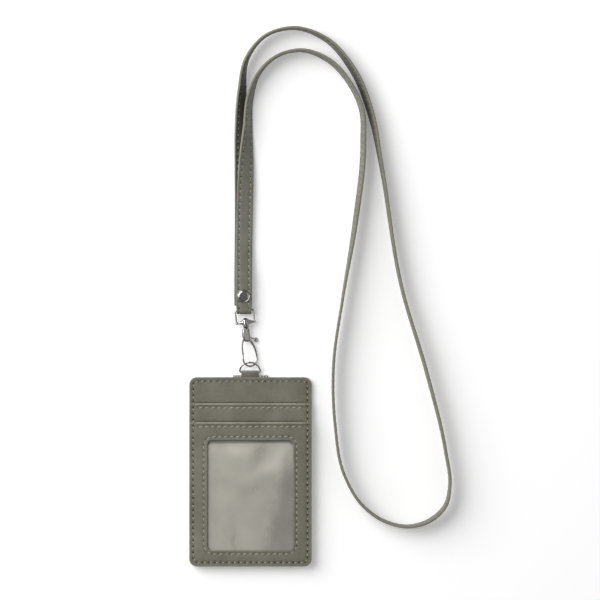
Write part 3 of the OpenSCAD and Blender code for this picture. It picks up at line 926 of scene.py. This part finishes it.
def sheet(top_y, z_out, z_in, relief, tone):
    """A leather sheet with the wallet's outline up to top_y, as a shape and its tones.

    z_out is the height of its finished face, and z_in of the other one.
    """
    way = 1 if z_out > z_in else -1
    near = SHEET_STEPS + even(EVEN_FROM, HALF_W, round((HALF_W - EVEN_FROM) / SHEET_STEP_X))
    us = [-(1 - d / HALF_W) for d in near] + [1 - d / HALF_W for d in reversed(near[:-1])]
    start, end = -HALF_H + 1.5, top_y - 1.7
    ys = ([-HALF_H + d for d in LOW_STEPS] + even(start, end, round((end - start) / SHEET_STEP_Y))
          + [top_y - d for d in HIGH_STEPS])
    vertices, tones = [], []
    for y in ys:
        for u in us:
            x = u * half_width(y)
            d = edge_distance(x, y) if top_y >= HALF_H else min(edge_distance(x, y), top_y - y)
            height = z_out + relief(x, y) * ease(d, 0, 0.4)
            vertices.append((x, y, way * rounded(way * height, d)))
            tones.append(tone(x, y))
    faces, border = grid(len(us), len(ys))
    loops = [border]
    for scale, z in ((1.0, z_in + way * SHEET_EDGE_R), (1 - SHEET_EDGE_R / HALF_W, z_in)):
        first = len(vertices)
        vertices += [(vertices[k][0] * scale,
                      vertices[k][1] * (1 - (1 - scale) * HALF_W / HALF_H), z) for k in border]
        tones += [0.1] * len(border)
        loops.append(list(range(first, len(vertices))))
    for one, two in zip(loops, loops[1:]):
        faces += [(one[k - 1], one[k], two[k], two[k - 1]) for k in range(len(border))]
    faces.append(tuple(loops[-1]))
    return (vertices, faces), tones


def window_frame():
    """The leather frame round the window, as a shape and its tones."""
    outline = (-HALF_W, -HALF_H, HALF_W, WINDOW_LIP_Y)
    corners = (CORNER_R, LIP_CORNER_R, LIP_CORNER_R, CORNER_R)
    counts = (130, 150, 6)
    outer = [round_loop(shrink(outline, d), [max(r - d, 0.03) for r in corners], *counts)
             for d in FRAME_STEPS]
    inner = [round_loop(shrink(WINDOW_BOX, -d), [WINDOW_R + d] * 4, *counts) for d in WINDOW_STEPS]
    loops = outer + [[a.lerp(b, 0.5) for a, b in zip(outer[-1], inner[0])]] + inner
    rings, tones = [], []
    for loop in loops:
        ring = []
        for x, y, _ in loop:
            d = min(box_distance(x, y, outline, CORNER_R, LIP_CORNER_R), window_distance(x, y))
            height = WINDOW_Z + window_relief(x, y) * ease(d, 0, 0.4)
            ring.append(Vector((x, y, rounded(height, d))))
            tones.append(front_tone_and_shading(x, y, 2))
        rings.append(ring)
    under = WINDOW_Z - SHEET_T
    for loop, z in ((loops[-1], under + 0.15), (loops[-4], under), (loops[4], under),
                    (loops[0], under + SHEET_EDGE_R)):
        rings.append([Vector((x, y, z)) for x, y, _ in loop])
        tones += [0.0] * len(loop)
    return skin(rings, loop=True), tones


def band(pairs, z_low, z_high):
    """The layers of leather beside a pocket: a strip between an outer and an inner line."""
    middle = (z_low + z_high) / 2
    edge = [(0.22, z_low), (0.12, z_low + 0.1), (0.12, middle - 0.08), (0.18, middle),
            (0.12, middle + 0.08), (0.12, z_high - 0.1), (0.22, z_high)]
    rings = []
    for outer, inner in pairs:
        inward = (inner - outer).normalized()
        rings.append([outer + inward * d + z * UP for d, z in edge]
                     + [inner + z_high * UP, inner + z_low * UP])
    return skin(rings)


def band_corner(x, y, start):
    """Places round a corner of the wallet, each with the pocket's corner inside it."""
    middle = Vector((x * (HALF_W - CORNER_R), y * (HALF_H - CORNER_R), 0))
    inner = Vector((x * POCKET_X, BOARD_END_Y if y > 0 else POCKET_FLOOR_Y, 0))
    return [(place, inner) for place in arc(middle, CORNER_R, even(start, start + 90, 10))]


def band_end(outer_x, outer_y, inner_x, inner_y):
    return [(Vector((outer_x, outer_y, 0)), Vector((inner_x, inner_y, 0)))]


LOWER_CORNERS = band_corner(-1, -1, 180) + band_corner(1, -1, 270)


def side_band(lip_y, z_low, z_high):
    """The strip down one side, along the bottom and up the other side of a pocket."""
    y = lip_y - 0.1
    return band(band_end(-HALF_W, y, -POCKET_X, y) + LOWER_CORNERS
                + band_end(HALF_W, y, POCKET_X, y), z_low, z_high)


def top_band(z_low, z_high):
    """The strip all round the board, up to the two sides of the tab."""
    x = TAB_BASE_W / 2
    return band(band_end(-x, HALF_H, -x, BOARD_END_Y) + band_corner(-1, 1, 90) + LOWER_CORNERS
                + band_corner(1, 1, 0) + band_end(x, HALF_H, x, BOARD_END_Y), z_low, z_high)


def make_panel(name, node_name, shape, tones, *strips):
    piece = make_piece(name, joined([shape, *strips]), "wallet", "leather", [LEATHER], node_name)
    add_tones(piece, tones)


make_panel("back_leather", "back_panel", *sheet(HALF_H, 0.0, CORE_Z, back_height, back_tone_and_shading))
make_panel("front_base_leather", "top_panel", *sheet(HALF_H, TOP_Z, BASE_Z, top_relief, top_tone),
           top_band(CORE_Z, BASE_Z))
make_panel("card_slot_leather", "slot_panel",
           *sheet(SLOT_LIP_Y, SLOT_Z, SLOT_Z - SHEET_T, slot_relief, slot_tone),
           side_band(SLOT_LIP_Y, TOP_Z, SLOT_Z - SHEET_T))
make_panel("window_leather", "window_panel", *window_frame(),
           side_band(WINDOW_LIP_Y, SLOT_Z, WINDOW_Z - SHEET_T))

SLOT_ROW, WINDOW_ROW = lip_line(SLOT_LIP_Y), lip_line(WINDOW_LIP_Y)
# Seams: name, line, pitch, side, hole size, gaps, slant and the node that the thread stands for
SEAMS = [
    ("edge_seam_front", EDGE_SEAM, SEAM_PITCH, 1, (1.2, 1.05), (0.6, 1.6), 0.26,
     ["edge_stitching"]),
    ("edge_seam_back", EDGE_SEAM, SEAM_PITCH, -1, (1.0, 0.85), (0.6, 1.0), 0.15, []),
    ("slot_seam", SLOT_ROW, LIP_PITCH, 1, (0.8, 0.7), (0.6, 0.7), 0.36, ["upper_slot_stitching"]),
    ("pocket_seam", WINDOW_ROW, LIP_PITCH, 1, (0.8, 0.7), (0.6, 0.7), 0.36,
     ["lower_slot_stitching"]),
    ("window_seam", WINDOW_LINE, WINDOW_PITCH, 1, (0.85, 0.75), (0.6, 0.65), 0.28,
     ["window_stitching"]),
]
for name, line, pitch, side, hole_size, gaps, slant, stands_for in SEAMS:
    sew(name, [(line, [side * UP] * len(line), pitch)], "wallet", hole_size, gaps, slant,
        drape=drape, replaces=stands_for)


# The film and its lining

FILM_T = 0.2
FILM_BOX = (-29.5, -51.0, 29.5, 22.7)
LINING_BOX = (-32.4, -52.55, 32.4, 28.5)
PALE_BOX = (-26.4, -47.9, 26.4, 17.3)  # where the film shows the pale lining

# Painted reflections on the film, as soft patches: x, y, half length, half width, turn and how much
# lighter
FILM_REFLECTIONS = [
    (-9, 14, 14, 5, 0, 0.28), (5, 11, 7, 3.4, 60, -0.2), (16, 10, 10, 4, 45, 0.26),
    (8, 1, 9, 4, 20, 0.16), (-14, 3, 10, 7, 30, 0.05), (0, -11, 10, 5, 10, -0.1),
    (-14, -16, 9, 5, 20, 0.05), (23, -6, 5, 15, 0, -0.12), (19, -30, 9, 18, 0, -0.1),
    (-10.5, -41, 1.8, 8, 0, -0.13), (-2, -38, 5, 8, 0, 0.06), (-20, -38, 5, 10, 0, 0.03),
]


def film_height(x, y):
    """Clear film, held flat at its edges and a little slack between them."""
    held = ease(-window_distance(x, y), 0.0, 9.0)
    along, across = (x + y) * 0.7071, (x - y) * 0.7071
    slack = 0.5 + 0.5 * noise.noise(Vector((along / 30, across / 15, 2.2)))
    crumple = 0.5 + 0.5 * noise.noise(Vector((x / 8, y / 9, 5.1)))
    return FILM_Z + FILM_T - held * (0.24 * slack + 0.06 * crumple)


def lining_height(x, y):
    """Soft lining with shallow folds that run from the lower left to the upper right."""
    held = ease(box_distance(x, y, LINING_BOX, 1, 1), 0.0, 6.0)
    along, across = (x + 1.6 * y) * 0.53, (1.6 * x - y) * 0.53
    folds = noise.noise(Vector((along / 26, across / 9, 8.0)))
    small = noise.noise(Vector((along / 9, across / 5, 3.0)))
    return SLOT_Z + FILM_T + held * 0.22 * max(0.0, 1 + 0.8 * folds + 0.2 * small)


# Painted reflections on the film: soft light patches over random haze, and painted shade on its
# right-hand side.
def film_haze_and_reflections(x, y):
    x, y = x + 3.5 * slow_wave(x, y, 11, 6.1), y + 3.5 * slow_wave(x, y, 11, 9.4)
    tone = 0.06 * slow_wave(x, y, 9, 2.2) + 0.035 * slow_wave(x, y, 3.5, 7.2)
    for middle_x, middle_y, long, wide, turn, amount in FILM_REFLECTIONS:
        dx, dy = x - middle_x, y - middle_y
        along, across = dx * cosine(turn) + dy * sine(turn), dy * cosine(turn) - dx * sine(turn)
        tone += amount * math.exp(-(along / long) ** 2 - (across / wide) ** 2)
    # Painted shade: the film is darker over its right-hand side.
    shaded_side = ease(x - 9 - 0.18 * (y + 47), -4, 5) * (1 - ease(y, -8, 12))
    return tone - 0.2 * shaded_side


def film_tone_and_shade(x, y):
    """Above the top of what lies behind it, the film is painted dark as the shade inside the
    pocket.
    """
    inside = box_distance(x, y - 0.4 * slow_wave(x, 0, 13, 4.4), PALE_BOX, 4.4, 3.8)
    return film_haze_and_reflections(x, y) - 0.6 * (1 - ease(inside, -0.6, 0.5))


def lining_shading(x, y):
    """The lining is painted darker towards the lower right as shade, and takes the film's tones as
    well.
    """
    slope = 0.1 * y / HALF_H - 0.08 * x / 26 - 0.08 * ease(x - 0.4 * y, 5, 32)
    return slope + film_tone_and_shade(x, y)


def make_soft_sheet(name, box, step, height, tone, slot, material, replaces):
    """A thin sheet over a box. Its height and tone are functions of x and y."""
    across, along = round((box[2] - box[0]) / step), round((box[3] - box[1]) / step)
    vertices = [(x, y, height(x, y) - under * FILM_T) for under in (0, 1)
                for y in even(box[1], box[3], along) for x in even(box[0], box[2], across)]
    faces, border = grid(across + 1, along + 1)
    first = len(vertices) // 2
    faces += [(first + a, first + d, first + c, first + b) for a, b, c, d in faces]
    faces += [(border[k - 1], border[k - 1] + first, border[k] + first, border[k])
              for k in range(len(border))]
    piece = make_piece(name, (vertices, faces), "wallet", slot, [material], replaces)
    add_tones(piece, [tone(x, y) for x, y, _ in vertices])


make_soft_sheet("clear_window", FILM_BOX, 0.8, film_height, film_tone_and_shade, "film", FILM, "window_film")
make_soft_sheet("window_lining", LINING_BOX, 1.1, lining_height, lining_shading, "lining", LINING,
                "window_backing")


# The tab and the D-ring

TAB_X = -0.3
TAB_W = 10.4
TAB_T = 0.5
TAB_EDGE_R = 0.14
TAB_TURN_R = 0.8
NECK_Y = 58.35
BAR_Y, BAR_Z = 60.2, 1.5
RING_R = 6.3
RING_TURN_R = 1.0
RING_WIRE_R = 0.5
RING_LEAN = 20.8


def make_tab():
    """The leather loop: a soft-edged strip that goes up, round the D-ring's bar and back."""
    half, high = TAB_W / 2 - TAB_EDGE_R, TAB_T / 2 - TAB_EDGE_R
    section = [(across * half + TAB_EDGE_R * cosine(start + 30 * k),
                out * high + TAB_EDGE_R * sine(start + 30 * k))
               for across, out, start in ((1, -1, -90), (1, 1, 0), (-1, 1, 90), (-1, -1, 180))
               for k in range(4)]
    lower = [(48.4 + i * 1.15, BAR_Z - TAB_T / 2) for i in range(9)]
    turn = [(BAR_Y - TAB_TURN_R * cosine(a), BAR_Z - TAB_TURN_R * sine(a))
            for a in range(54, 307, 14)]
    upper = [(y, 2 * BAR_Z - z) for y, z in reversed(lower)]
    line = [Vector((TAB_X, y, z)) for y, z in lower + turn + upper]
    rings = []
    for i, place in enumerate(line):
        out = Vector((1, 0, 0)).cross(way_at(line, i))
        rings.append([place + Vector((a, 0, 0)) + out * b for a, b in section])
    vertices, faces = skin(rings)
    loop = make_piece("ring_loop_leather", (vertices, faces), "wallet", "leather", [TAB_LEATHER],
                      "d_ring_tab")
    # Painted light and shade: the loop is lighter towards its top and darker at its foot, where it
    # goes in under the wallet's top edge.
    add_tones(loop, [0.16 - 0.5 * (1 - ease(v[1], 57.4, 60.6)) for v in vertices])


def make_tab_base():
    """The strip that the loop is sewn to: two soft-edged sides and a thin layer under the loop."""
    left, right, reach = TAB_X - TAB_W / 2, TAB_X + TAB_W / 2, TAB_BASE_W / 2
    start_y = BOARD_END_Y + 0.1
    parts = []
    for low_x, high_x, high_z in ((-reach, left - 0.05, BASE_Z), (right + 0.05, reach, BASE_Z),
                                  (left, right, CORE_Z + 0.18)):
        edge = min(0.35, (high_z - CORE_Z) / 2 * 0.9)
        rings = []
        for x, inset in ((low_x, 0.15), (low_x + 0.12, 0.03), (low_x + 0.3, 0.0),
                         (high_x - 0.3, 0.0), (high_x - 0.12, 0.03), (high_x, 0.15)):
            near = min(inset, edge * 0.5)
            low, high = CORE_Z + near, high_z - near
            ring = [Vector((x, start_y, low)), Vector((x, start_y, high))]
            for turn in (90, 68, 45, 22, 0, -22, -45, -68, -90):
                z = (high - edge if turn >= 0 else low + edge) + edge * sine(turn)
                ring.append(Vector((x, NECK_Y - near - edge + edge * cosine(turn), z)))
            rings.append(ring)
        parts.append(skin(rings))
    make_piece("tab_strip_leather", joined(parts), "wallet", "leather", [TAB_LEATHER], "tab_base")


def make_tab_threads():
    """Threads that run over the edge of the strip, three on each side of the loop."""
    threads = []
    rng = random.Random("tab threads")
    for side in (-1, 1):
        inner_x = TAB_X + side * TAB_W / 2
        pitch = (side * TAB_BASE_W / 2 - inner_x) / 3
        for i in range(3):
            x = inner_x + (i + 0.5) * pitch
            lean = rng.uniform(-0.12, 0.12) + 0.18
            centres, normals, radii = [], [], []
            for turn in range(-100, 101, 20):
                y = NECK_Y - 0.38 + 0.42 * cosine(turn) - (0.75 if abs(turn) > 85 else 0.0)
                swell = 1.0 if abs(turn) < 95 else 0.7
                centres.append(Vector((x + lean * turn / 100, y, 1.4 + 0.68 * sine(turn))))
                normals.append(Vector((0, cosine(turn), sine(turn))))
                radii.append((0.42 * swell, 0.17 * swell))
            threads.append(tube(centres, normals, radii, 8))
    make_piece("tab_threads", joined(threads), "wallet", "thread", [PALE_THREAD], "tab_stitching")


def make_d_ring():
    """Round wire with a straight bar and small round corners."""
    corner_x = math.sqrt((RING_R - RING_TURN_R) ** 2 - RING_TURN_R ** 2)
    tilt = math.degrees(math.atan2(RING_TURN_R, corner_x))
    right, left = Vector((corner_x, RING_TURN_R, 0)), Vector((-corner_x, RING_TURN_R, 0))
    points = [Vector((x, 0, 0)) for x in even(-corner_x, corner_x, 16)[:-1]]
    points += arc(right, RING_TURN_R, even(-90, tilt, 9)[:-1])
    points += arc(Vector(), RING_R, even(tilt, 180 - tilt, 48))
    points += arc(left, RING_TURN_R, even(180 - tilt, 270, 9)[1:-1])
    at_ring = (Matrix.Translation((TAB_X, BAR_Y, BAR_Z))
               @ Matrix.Rotation(math.radians(RING_LEAN), 4, "X"))
    shape = wire(points, [RING_WIRE_R] * len(points), 18, loop=True)
    make_metal("ring_wire", placed(at_ring, shape), "ring", "d_ring")


make_tab()
make_tab_base()
make_tab_threads()
make_d_ring()


# The clasp: its own frame has the swivel's axis along Y and the swivel at 0

AT_CLASP = Matrix.Translation((-2.95, 90.3, AXIS_Z)) @ Matrix.Rotation(math.radians(7), 4, "Z")
AT_HOOK = AT_CLASP @ Matrix.Rotation(math.radians(26), 4, "Y")
LOOP_MIDDLE = Vector((0, -22, 0))
LOOP_R = 4.6
HOOK_WIRE_R = 0.55
NOSE_ANGLE = 158
SIDE_ANGLE = -5
PIVOT = Vector((-0.7, -8.0, 0))
KNOB = Vector((5.3, -11.1, 0))
BAIL_HALF_W = 5.5
BAIL_H = 7.5
BAIL_TURN_R = 0.95
BAIL_WIRE_R = 0.55

# The cast shank: height along the swivel's axis, left and right side, half thickness, squareness
SHANK = [
    (-1.9, -1.85, 1.85, 1.85, 2.0), (-2.05, -2.0, 2.0, 2.0, 2.0), (-2.9, -2.0, 2.0, 2.0, 2.0),
    (-3.25, -1.8, 1.75, 1.75, 2.1), (-3.6, -1.9, 1.55, 1.45, 2.4), (-4.0, -2.5, 1.65, 1.32, 3.0),
    (-4.6, -2.9, 1.75, 1.3, 3.4), (-6.0, -3.0, 1.8, 1.3, 3.6), (-8.0, -3.0, 1.8, 1.3, 3.6),
    (-9.6, -3.0, 1.8, 1.3, 3.6), (-10.5, -2.9, 1.85, 1.3, 3.4), (-11.0, -2.6, 1.85, 1.25, 3.2),
    (-11.35, -2.1, 1.8, 1.12, 2.8), (-11.6, -1.5, 1.7, 0.95, 2.6), (-11.8, -0.8, 1.5, 0.7, 2.4),
    (-11.92, -0.2, 1.2, 0.35, 2.2),
]
GATE_SLOT = [(-5, -13.5), (0.6, -13.5), (0.6, -10.1), (4, -10.1), (4, -6.5), (-5, -6.5)]
GATE_SLOT_HALF = 0.55


def cut_out(piece, shape):
    """Takes a shape out of a piece."""
    mesh = new_mesh("cutter", shape)
    cutter = add_object("cutter", mesh)
    modifier = piece.modifiers.new("cut", "BOOLEAN")
    modifier.operation = "DIFFERENCE"
    modifier.solver = "EXACT"
    modifier.object = cutter
    bpy.context.view_layer.update()
    shown = piece.evaluated_get(bpy.context.evaluated_depsgraph_get())
    made = bpy.data.meshes.new_from_object(shown)
    piece.modifiers.remove(modifier)
    piece.data = made
    bpy.data.objects.remove(cutter)
    bpy.data.meshes.remove(mesh)


def add_shell(piece, shape):
    """Adds another closed shape to a piece."""
    mesh = bmesh.new()
    mesh.from_mesh(piece.data)
    made = [mesh.verts.new(Vector(v) * MM) for v in shape[0]]
    for face in shape[1]:
        mesh.faces.new([made[i] for i in face])
    bmesh.ops.recalc_face_normals(mesh, faces=mesh.faces)
    mesh.to_mesh(piece.data)
    mesh.free()


def curve(a, b, c, d, count):
    """Places along a smooth curve from a to d that leaves towards b and arrives from c."""
    return [(1 - t) ** 3 * a + 3 * t * (1 - t) ** 2 * b + 3 * t * t * (1 - t) * c + t ** 3 * d
            for t in (i / count for i in range(count + 1))]


def make_hook():
    """A cast shank, and the round wire loop that leaves its right side with a shoulder."""
    shank = skin([[Vector(((left + right) / 2 + (right - left) / 2 * c, y, high * s))
                   for c, s in circle(32, power)] for y, left, right, high, power in SHANK])
    piece = make_metal("hook_casting", shank, "hook", "hook_body")
    cut_out(piece, skin([[Vector((x, y, z)) for x, y in GATE_SLOT]
                         for z in (-GATE_SLOT_HALF, GATE_SLOT_HALF)]))
    around = arc(LOOP_MIDDLE, LOOP_R, even(SIDE_ANGLE, NOSE_ANGLE - 360, 60))
    side_way = Vector((-sine(SIDE_ANGLE), cosine(SIDE_ANGLE), 0))
    centres = curve(Vector((0.75, -10.9, 0)), Vector((3.1, -12.0, 0)), around[0] + 5 * side_way,
                    around[0], 22)[:-1] + around
    radii = [HOOK_WIRE_R + 0.33 * (1 - ease(k, -4, 20)) for k in range(22)]
    radii += [HOOK_WIRE_R + 0.03 * ease(k, 42, 60) for k in range(61)]
    way = (around[-1] - around[-2]).normalized()
    for turn in (22, 44, 66, 88):
        centres.append(around[-1] + way * 0.57 * sine(turn))
        radii.append(0.58 * cosine(turn))
    add_shell(piece, wire(centres, radii, 24))
    at_hook = AT_HOOK.copy()
    at_hook.translation *= MM
    piece.data.transform(at_hook)
    smooth(piece.data, 40)


def make_trigger():
    """The sprung gate: a hub on the pin, a bowed blade down to the nose, and an arm with a knob."""
    nose = arc(LOOP_MIDDLE, LOOP_R, [NOSE_ANGLE])[0]
    centres = curve(PIVOT, Vector((-4.5, -10.0, 0)), Vector((-4.6, -16.0, 0)),
                    nose + Vector((0, 0.68, 0)), 24)
    radii = [(0.62 - 0.1 * ease(k, 2, 18), 0.43) for k in range(25)]
    blade = tube(centres, [UP] * 25, radii, 20, 3.2)
    hub = lathe([(0.51, -0.45), (1.15, -0.45), (1.3, -0.3), (1.3, 0.3), (1.15, 0.45), (0.51, 0.45)],
                32, loop=True)
    way = (KNOB - PIVOT).normalized()
    arm = [PIVOT + way * 1.1, PIVOT + way * 2.0,
           KNOB - way * 2.0, KNOB - way * 0.9, KNOB - way * 0.4]
    arm_radii = [(0.42, 0.4), (0.4, 0.4), (0.4, 0.4), (0.44, 0.42), (0.6, 0.45)]
    knob = lathe([(0.0, -0.46), (0.7, -0.48), (1.0, -0.6), (1.24, -0.52), (1.37, -0.3), (1.4, 0.0),
                  (1.37, 0.3), (1.24, 0.52), (1.0, 0.6), (0.7, 0.48), (0.0, 0.46)], 40)
    shape = joined([blade, placed(Matrix.Translation(PIVOT), hub),
                    tube(arm, [UP] * 5, arm_radii, 16), placed(Matrix.Translation(KNOB), knob)])
    make_metal("gate_and_knob", placed(AT_HOOK, shape), "trigger", "trigger_lever")


def make_bail():
    """The swivel's boss, its two arms and the square loop that holds the strap."""
    boss = lathe([(1.0, -1.6), (1.85, -1.6), (2.12, -1.5), (2.28, -1.25), (2.3, -0.8), (2.22, 0.2),
                  (2.25, 1.1), (2.18, 1.5), (1.95, 1.75), (1.6, 1.8), (1.0, 1.8)], 48)
    cone = [(1.5, 1.95), (2.2, 1.55), (2.9, 1.2), (3.6, 0.92), (4.3, 0.74), (4.8, 0.68), (5.1, 0.7)]
    ball = lathe([(0.8 * cosine(a), 0.8 * sine(a)) for a in range(-88, 89, 16)], 28)
    parts = [placed(Matrix.Rotation(math.radians(-90), 4, "X"), boss)]
    for side in (-1, 1):
        parts.append(wire([Vector((side * x, 0, 0)) for x, _ in cone], [r for _, r in cone], 28))
        parts.append(placed(Matrix.Translation((side * BAIL_HALF_W, 0, 0)), ball))
    turn = Vector((BAIL_TURN_R - BAIL_HALF_W, BAIL_H - BAIL_TURN_R, 0))
    left = [Vector((-BAIL_HALF_W, y, 0)) for y in even(0.3, turn.y, 8)]
    left += arc(turn, BAIL_TURN_R, range(165, 89, -15))
    top = [Vector((x, BAIL_H, 0)) for x in even(turn.x, -turn.x, 12)[1:-1]]
    path = left + top + [Vector((-p.x, p.y, 0)) for p in reversed(left)]
    parts.append(wire(path, [BAIL_WIRE_R] * len(path), 20))
    make_metal("swivel_loop", placed(AT_CLASP, joined(parts)), "bail", "swivel_bail")


def make_spring():
    """The gate's coil spring, inside the shank."""
    turns, per_turn, coil_r, wire_r, length = 6, 12, 0.3, 0.09, 1.6
    top = PIVOT + Vector((1.9, 1.45, 0))
    steps = turns * per_turn
    normals = [Vector((cosine(360 * i / per_turn), 0, sine(360 * i / per_turn)))
               for i in range(steps + 1)]
    centres = [top + out * coil_r - Vector((0, length * i / steps, 0))
               for i, out in enumerate(normals)]
    shape = tube(centres, normals, [(wire_r, wire_r)] * len(centres), 8)
    spring = make_piece("gate_spring", placed(AT_HOOK, shape), "hook", "spring_steel", [STEEL],
                        "trigger_spring")
    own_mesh(spring)


make_hook()
make_trigger()
make_bail()
make_spring()


# The rivet

RIVET_X, RIVET_Y = -4.2, 106.3
RIVET_CAP = [(0.25 * k, 1.16 - 0.75 * (k / 15.6) ** 4) for k in range(13)] + [
    (3.14, 0.8), (3.26, 0.66), (3.35, 0.59), (3.43, 0.6), (3.53, 0.66), (3.65, 0.71), (3.77, 0.68),
    (3.88, 0.57), (3.96, 0.38), (4.0, 0.18), (3.97, 0.0), (3.8, -0.03), (1.0, -0.03), (1.0, -4.4),
    (0.0, -4.4)]
RIVET_BASE = [(1.05, 4.4), (1.4, 4.4), (1.4, 0.0), (3.45, 0.02), (3.6, -0.1), (3.6, -0.45),
              (3.45, -0.75), (3.1, -0.92), (2.2, -0.98), (1.6, -0.94), (1.2, -0.8), (0.0, -0.76)]


def make_rivet(name, profile, face, replaces):
    """Half of the rivet, on the strap's front face or its back one."""
    at_face = (RIVET_X, RIVET_Y, AXIS_Z + face * (FOLD_INNER_R + STRAP_T))
    return make_metal(name, placed(Matrix.Translation(at_face), lathe(profile, 64)), "lanyard",
                      replaces)


rivet_front = make_rivet("rivet_dome", RIVET_CAP, 1, "rivet_cap")
rivet_back = make_rivet("rivet_foot", RIVET_BASE, -1, "rivet_base")

tuple(strap_path[0])

for name, material in (("stiffener_board", BOARD), ("swivel_stud", NICKEL),
                       ("trigger_pin", NICKEL)):
    for material_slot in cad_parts[name].material_slots:
        material_slot.material = material


# Stage and light

FLOOR_HALF = 6000
FLOOR_Z = -0.05


def grey(value):
    return (value, value, value, 1)


def make_floor():
    """White paper: it shows as white where nothing shades it."""
    corners = [(x * FLOOR_HALF, y * FLOOR_HALF, 0) for x, y in ((-1, -1), (1, -1), (1, 1), (-1, 1))]
    mesh = new_mesh("floor", (corners, [(0, 1, 2, 3)]))
    floor = add_object("floor", mesh)
    floor.location.z = FLOOR_Z * MM
    material, tree, surface = new_material("white_paper")
    rays = node(tree, "LightPath").outputs
    seen = math_node(tree, "MAXIMUM", rays["Is Camera Ray"], rays["Is Glossy Ray"])
    seen = math_node(tree, "MAXIMUM", seen, rays["Is Transmission Ray"])
    set_inputs(tree, surface, {
        "Base Color": grey(0.92), "Roughness": 0.9, "Specular IOR Level": 0.0,
        "Emission Color": grey(1), "Emission Strength": math_node(tree, "MULTIPLY", seen, 0.22)})
    mesh.materials.append(material)


def make_sky():
    """A studio: brightest towards the horizon, dim at middle heights and a little brighter
    overhead.
    """
    world = bpy.data.worlds.new("studio")
    world.use_nodes = True
    tree = world.node_tree
    place = node(tree, "TexCoord").outputs["Generated"]
    height = node(tree, "SeparateXYZ", {0: place}).outputs["Z"]
    stops = ((0.0, 0.5), (0.3, 0.4), (0.45, 0.11), (0.8, 0.11), (0.88, 0.26), (0.97, 0.26))
    glow = ramp(tree, height, *((position, grey(value)) for position, value in stops))
    set_inputs(tree, tree.nodes["Background"], {"Color": glow})
    bpy.context.scene.world = world


def add_softbox(name, place, size, watts):
    """A square lamp that faces the middle of the photograph."""
    data = bpy.data.lights.new(name, "AREA")
    data.shape = "RECTANGLE"
    data.size = data.size_y = size * MM
    data.energy = watts
    lamp = add_object(name, data)
    lamp.location = Vector(place) * MM
    aim = Vector(PHOTO_CENTRE) * MM - lamp.location
    lamp.rotation_euler = aim.to_track_quat("-Z", "Y").to_euler()


make_floor()
make_sky()
add_softbox("key_light", (-1130, 800, 1150), 1800, 43.5)
add_softbox("fill_light", (1300, 300, 1500), 1500, 4.5)

bpy.context.scene.view_settings.view_transform = "Standard"
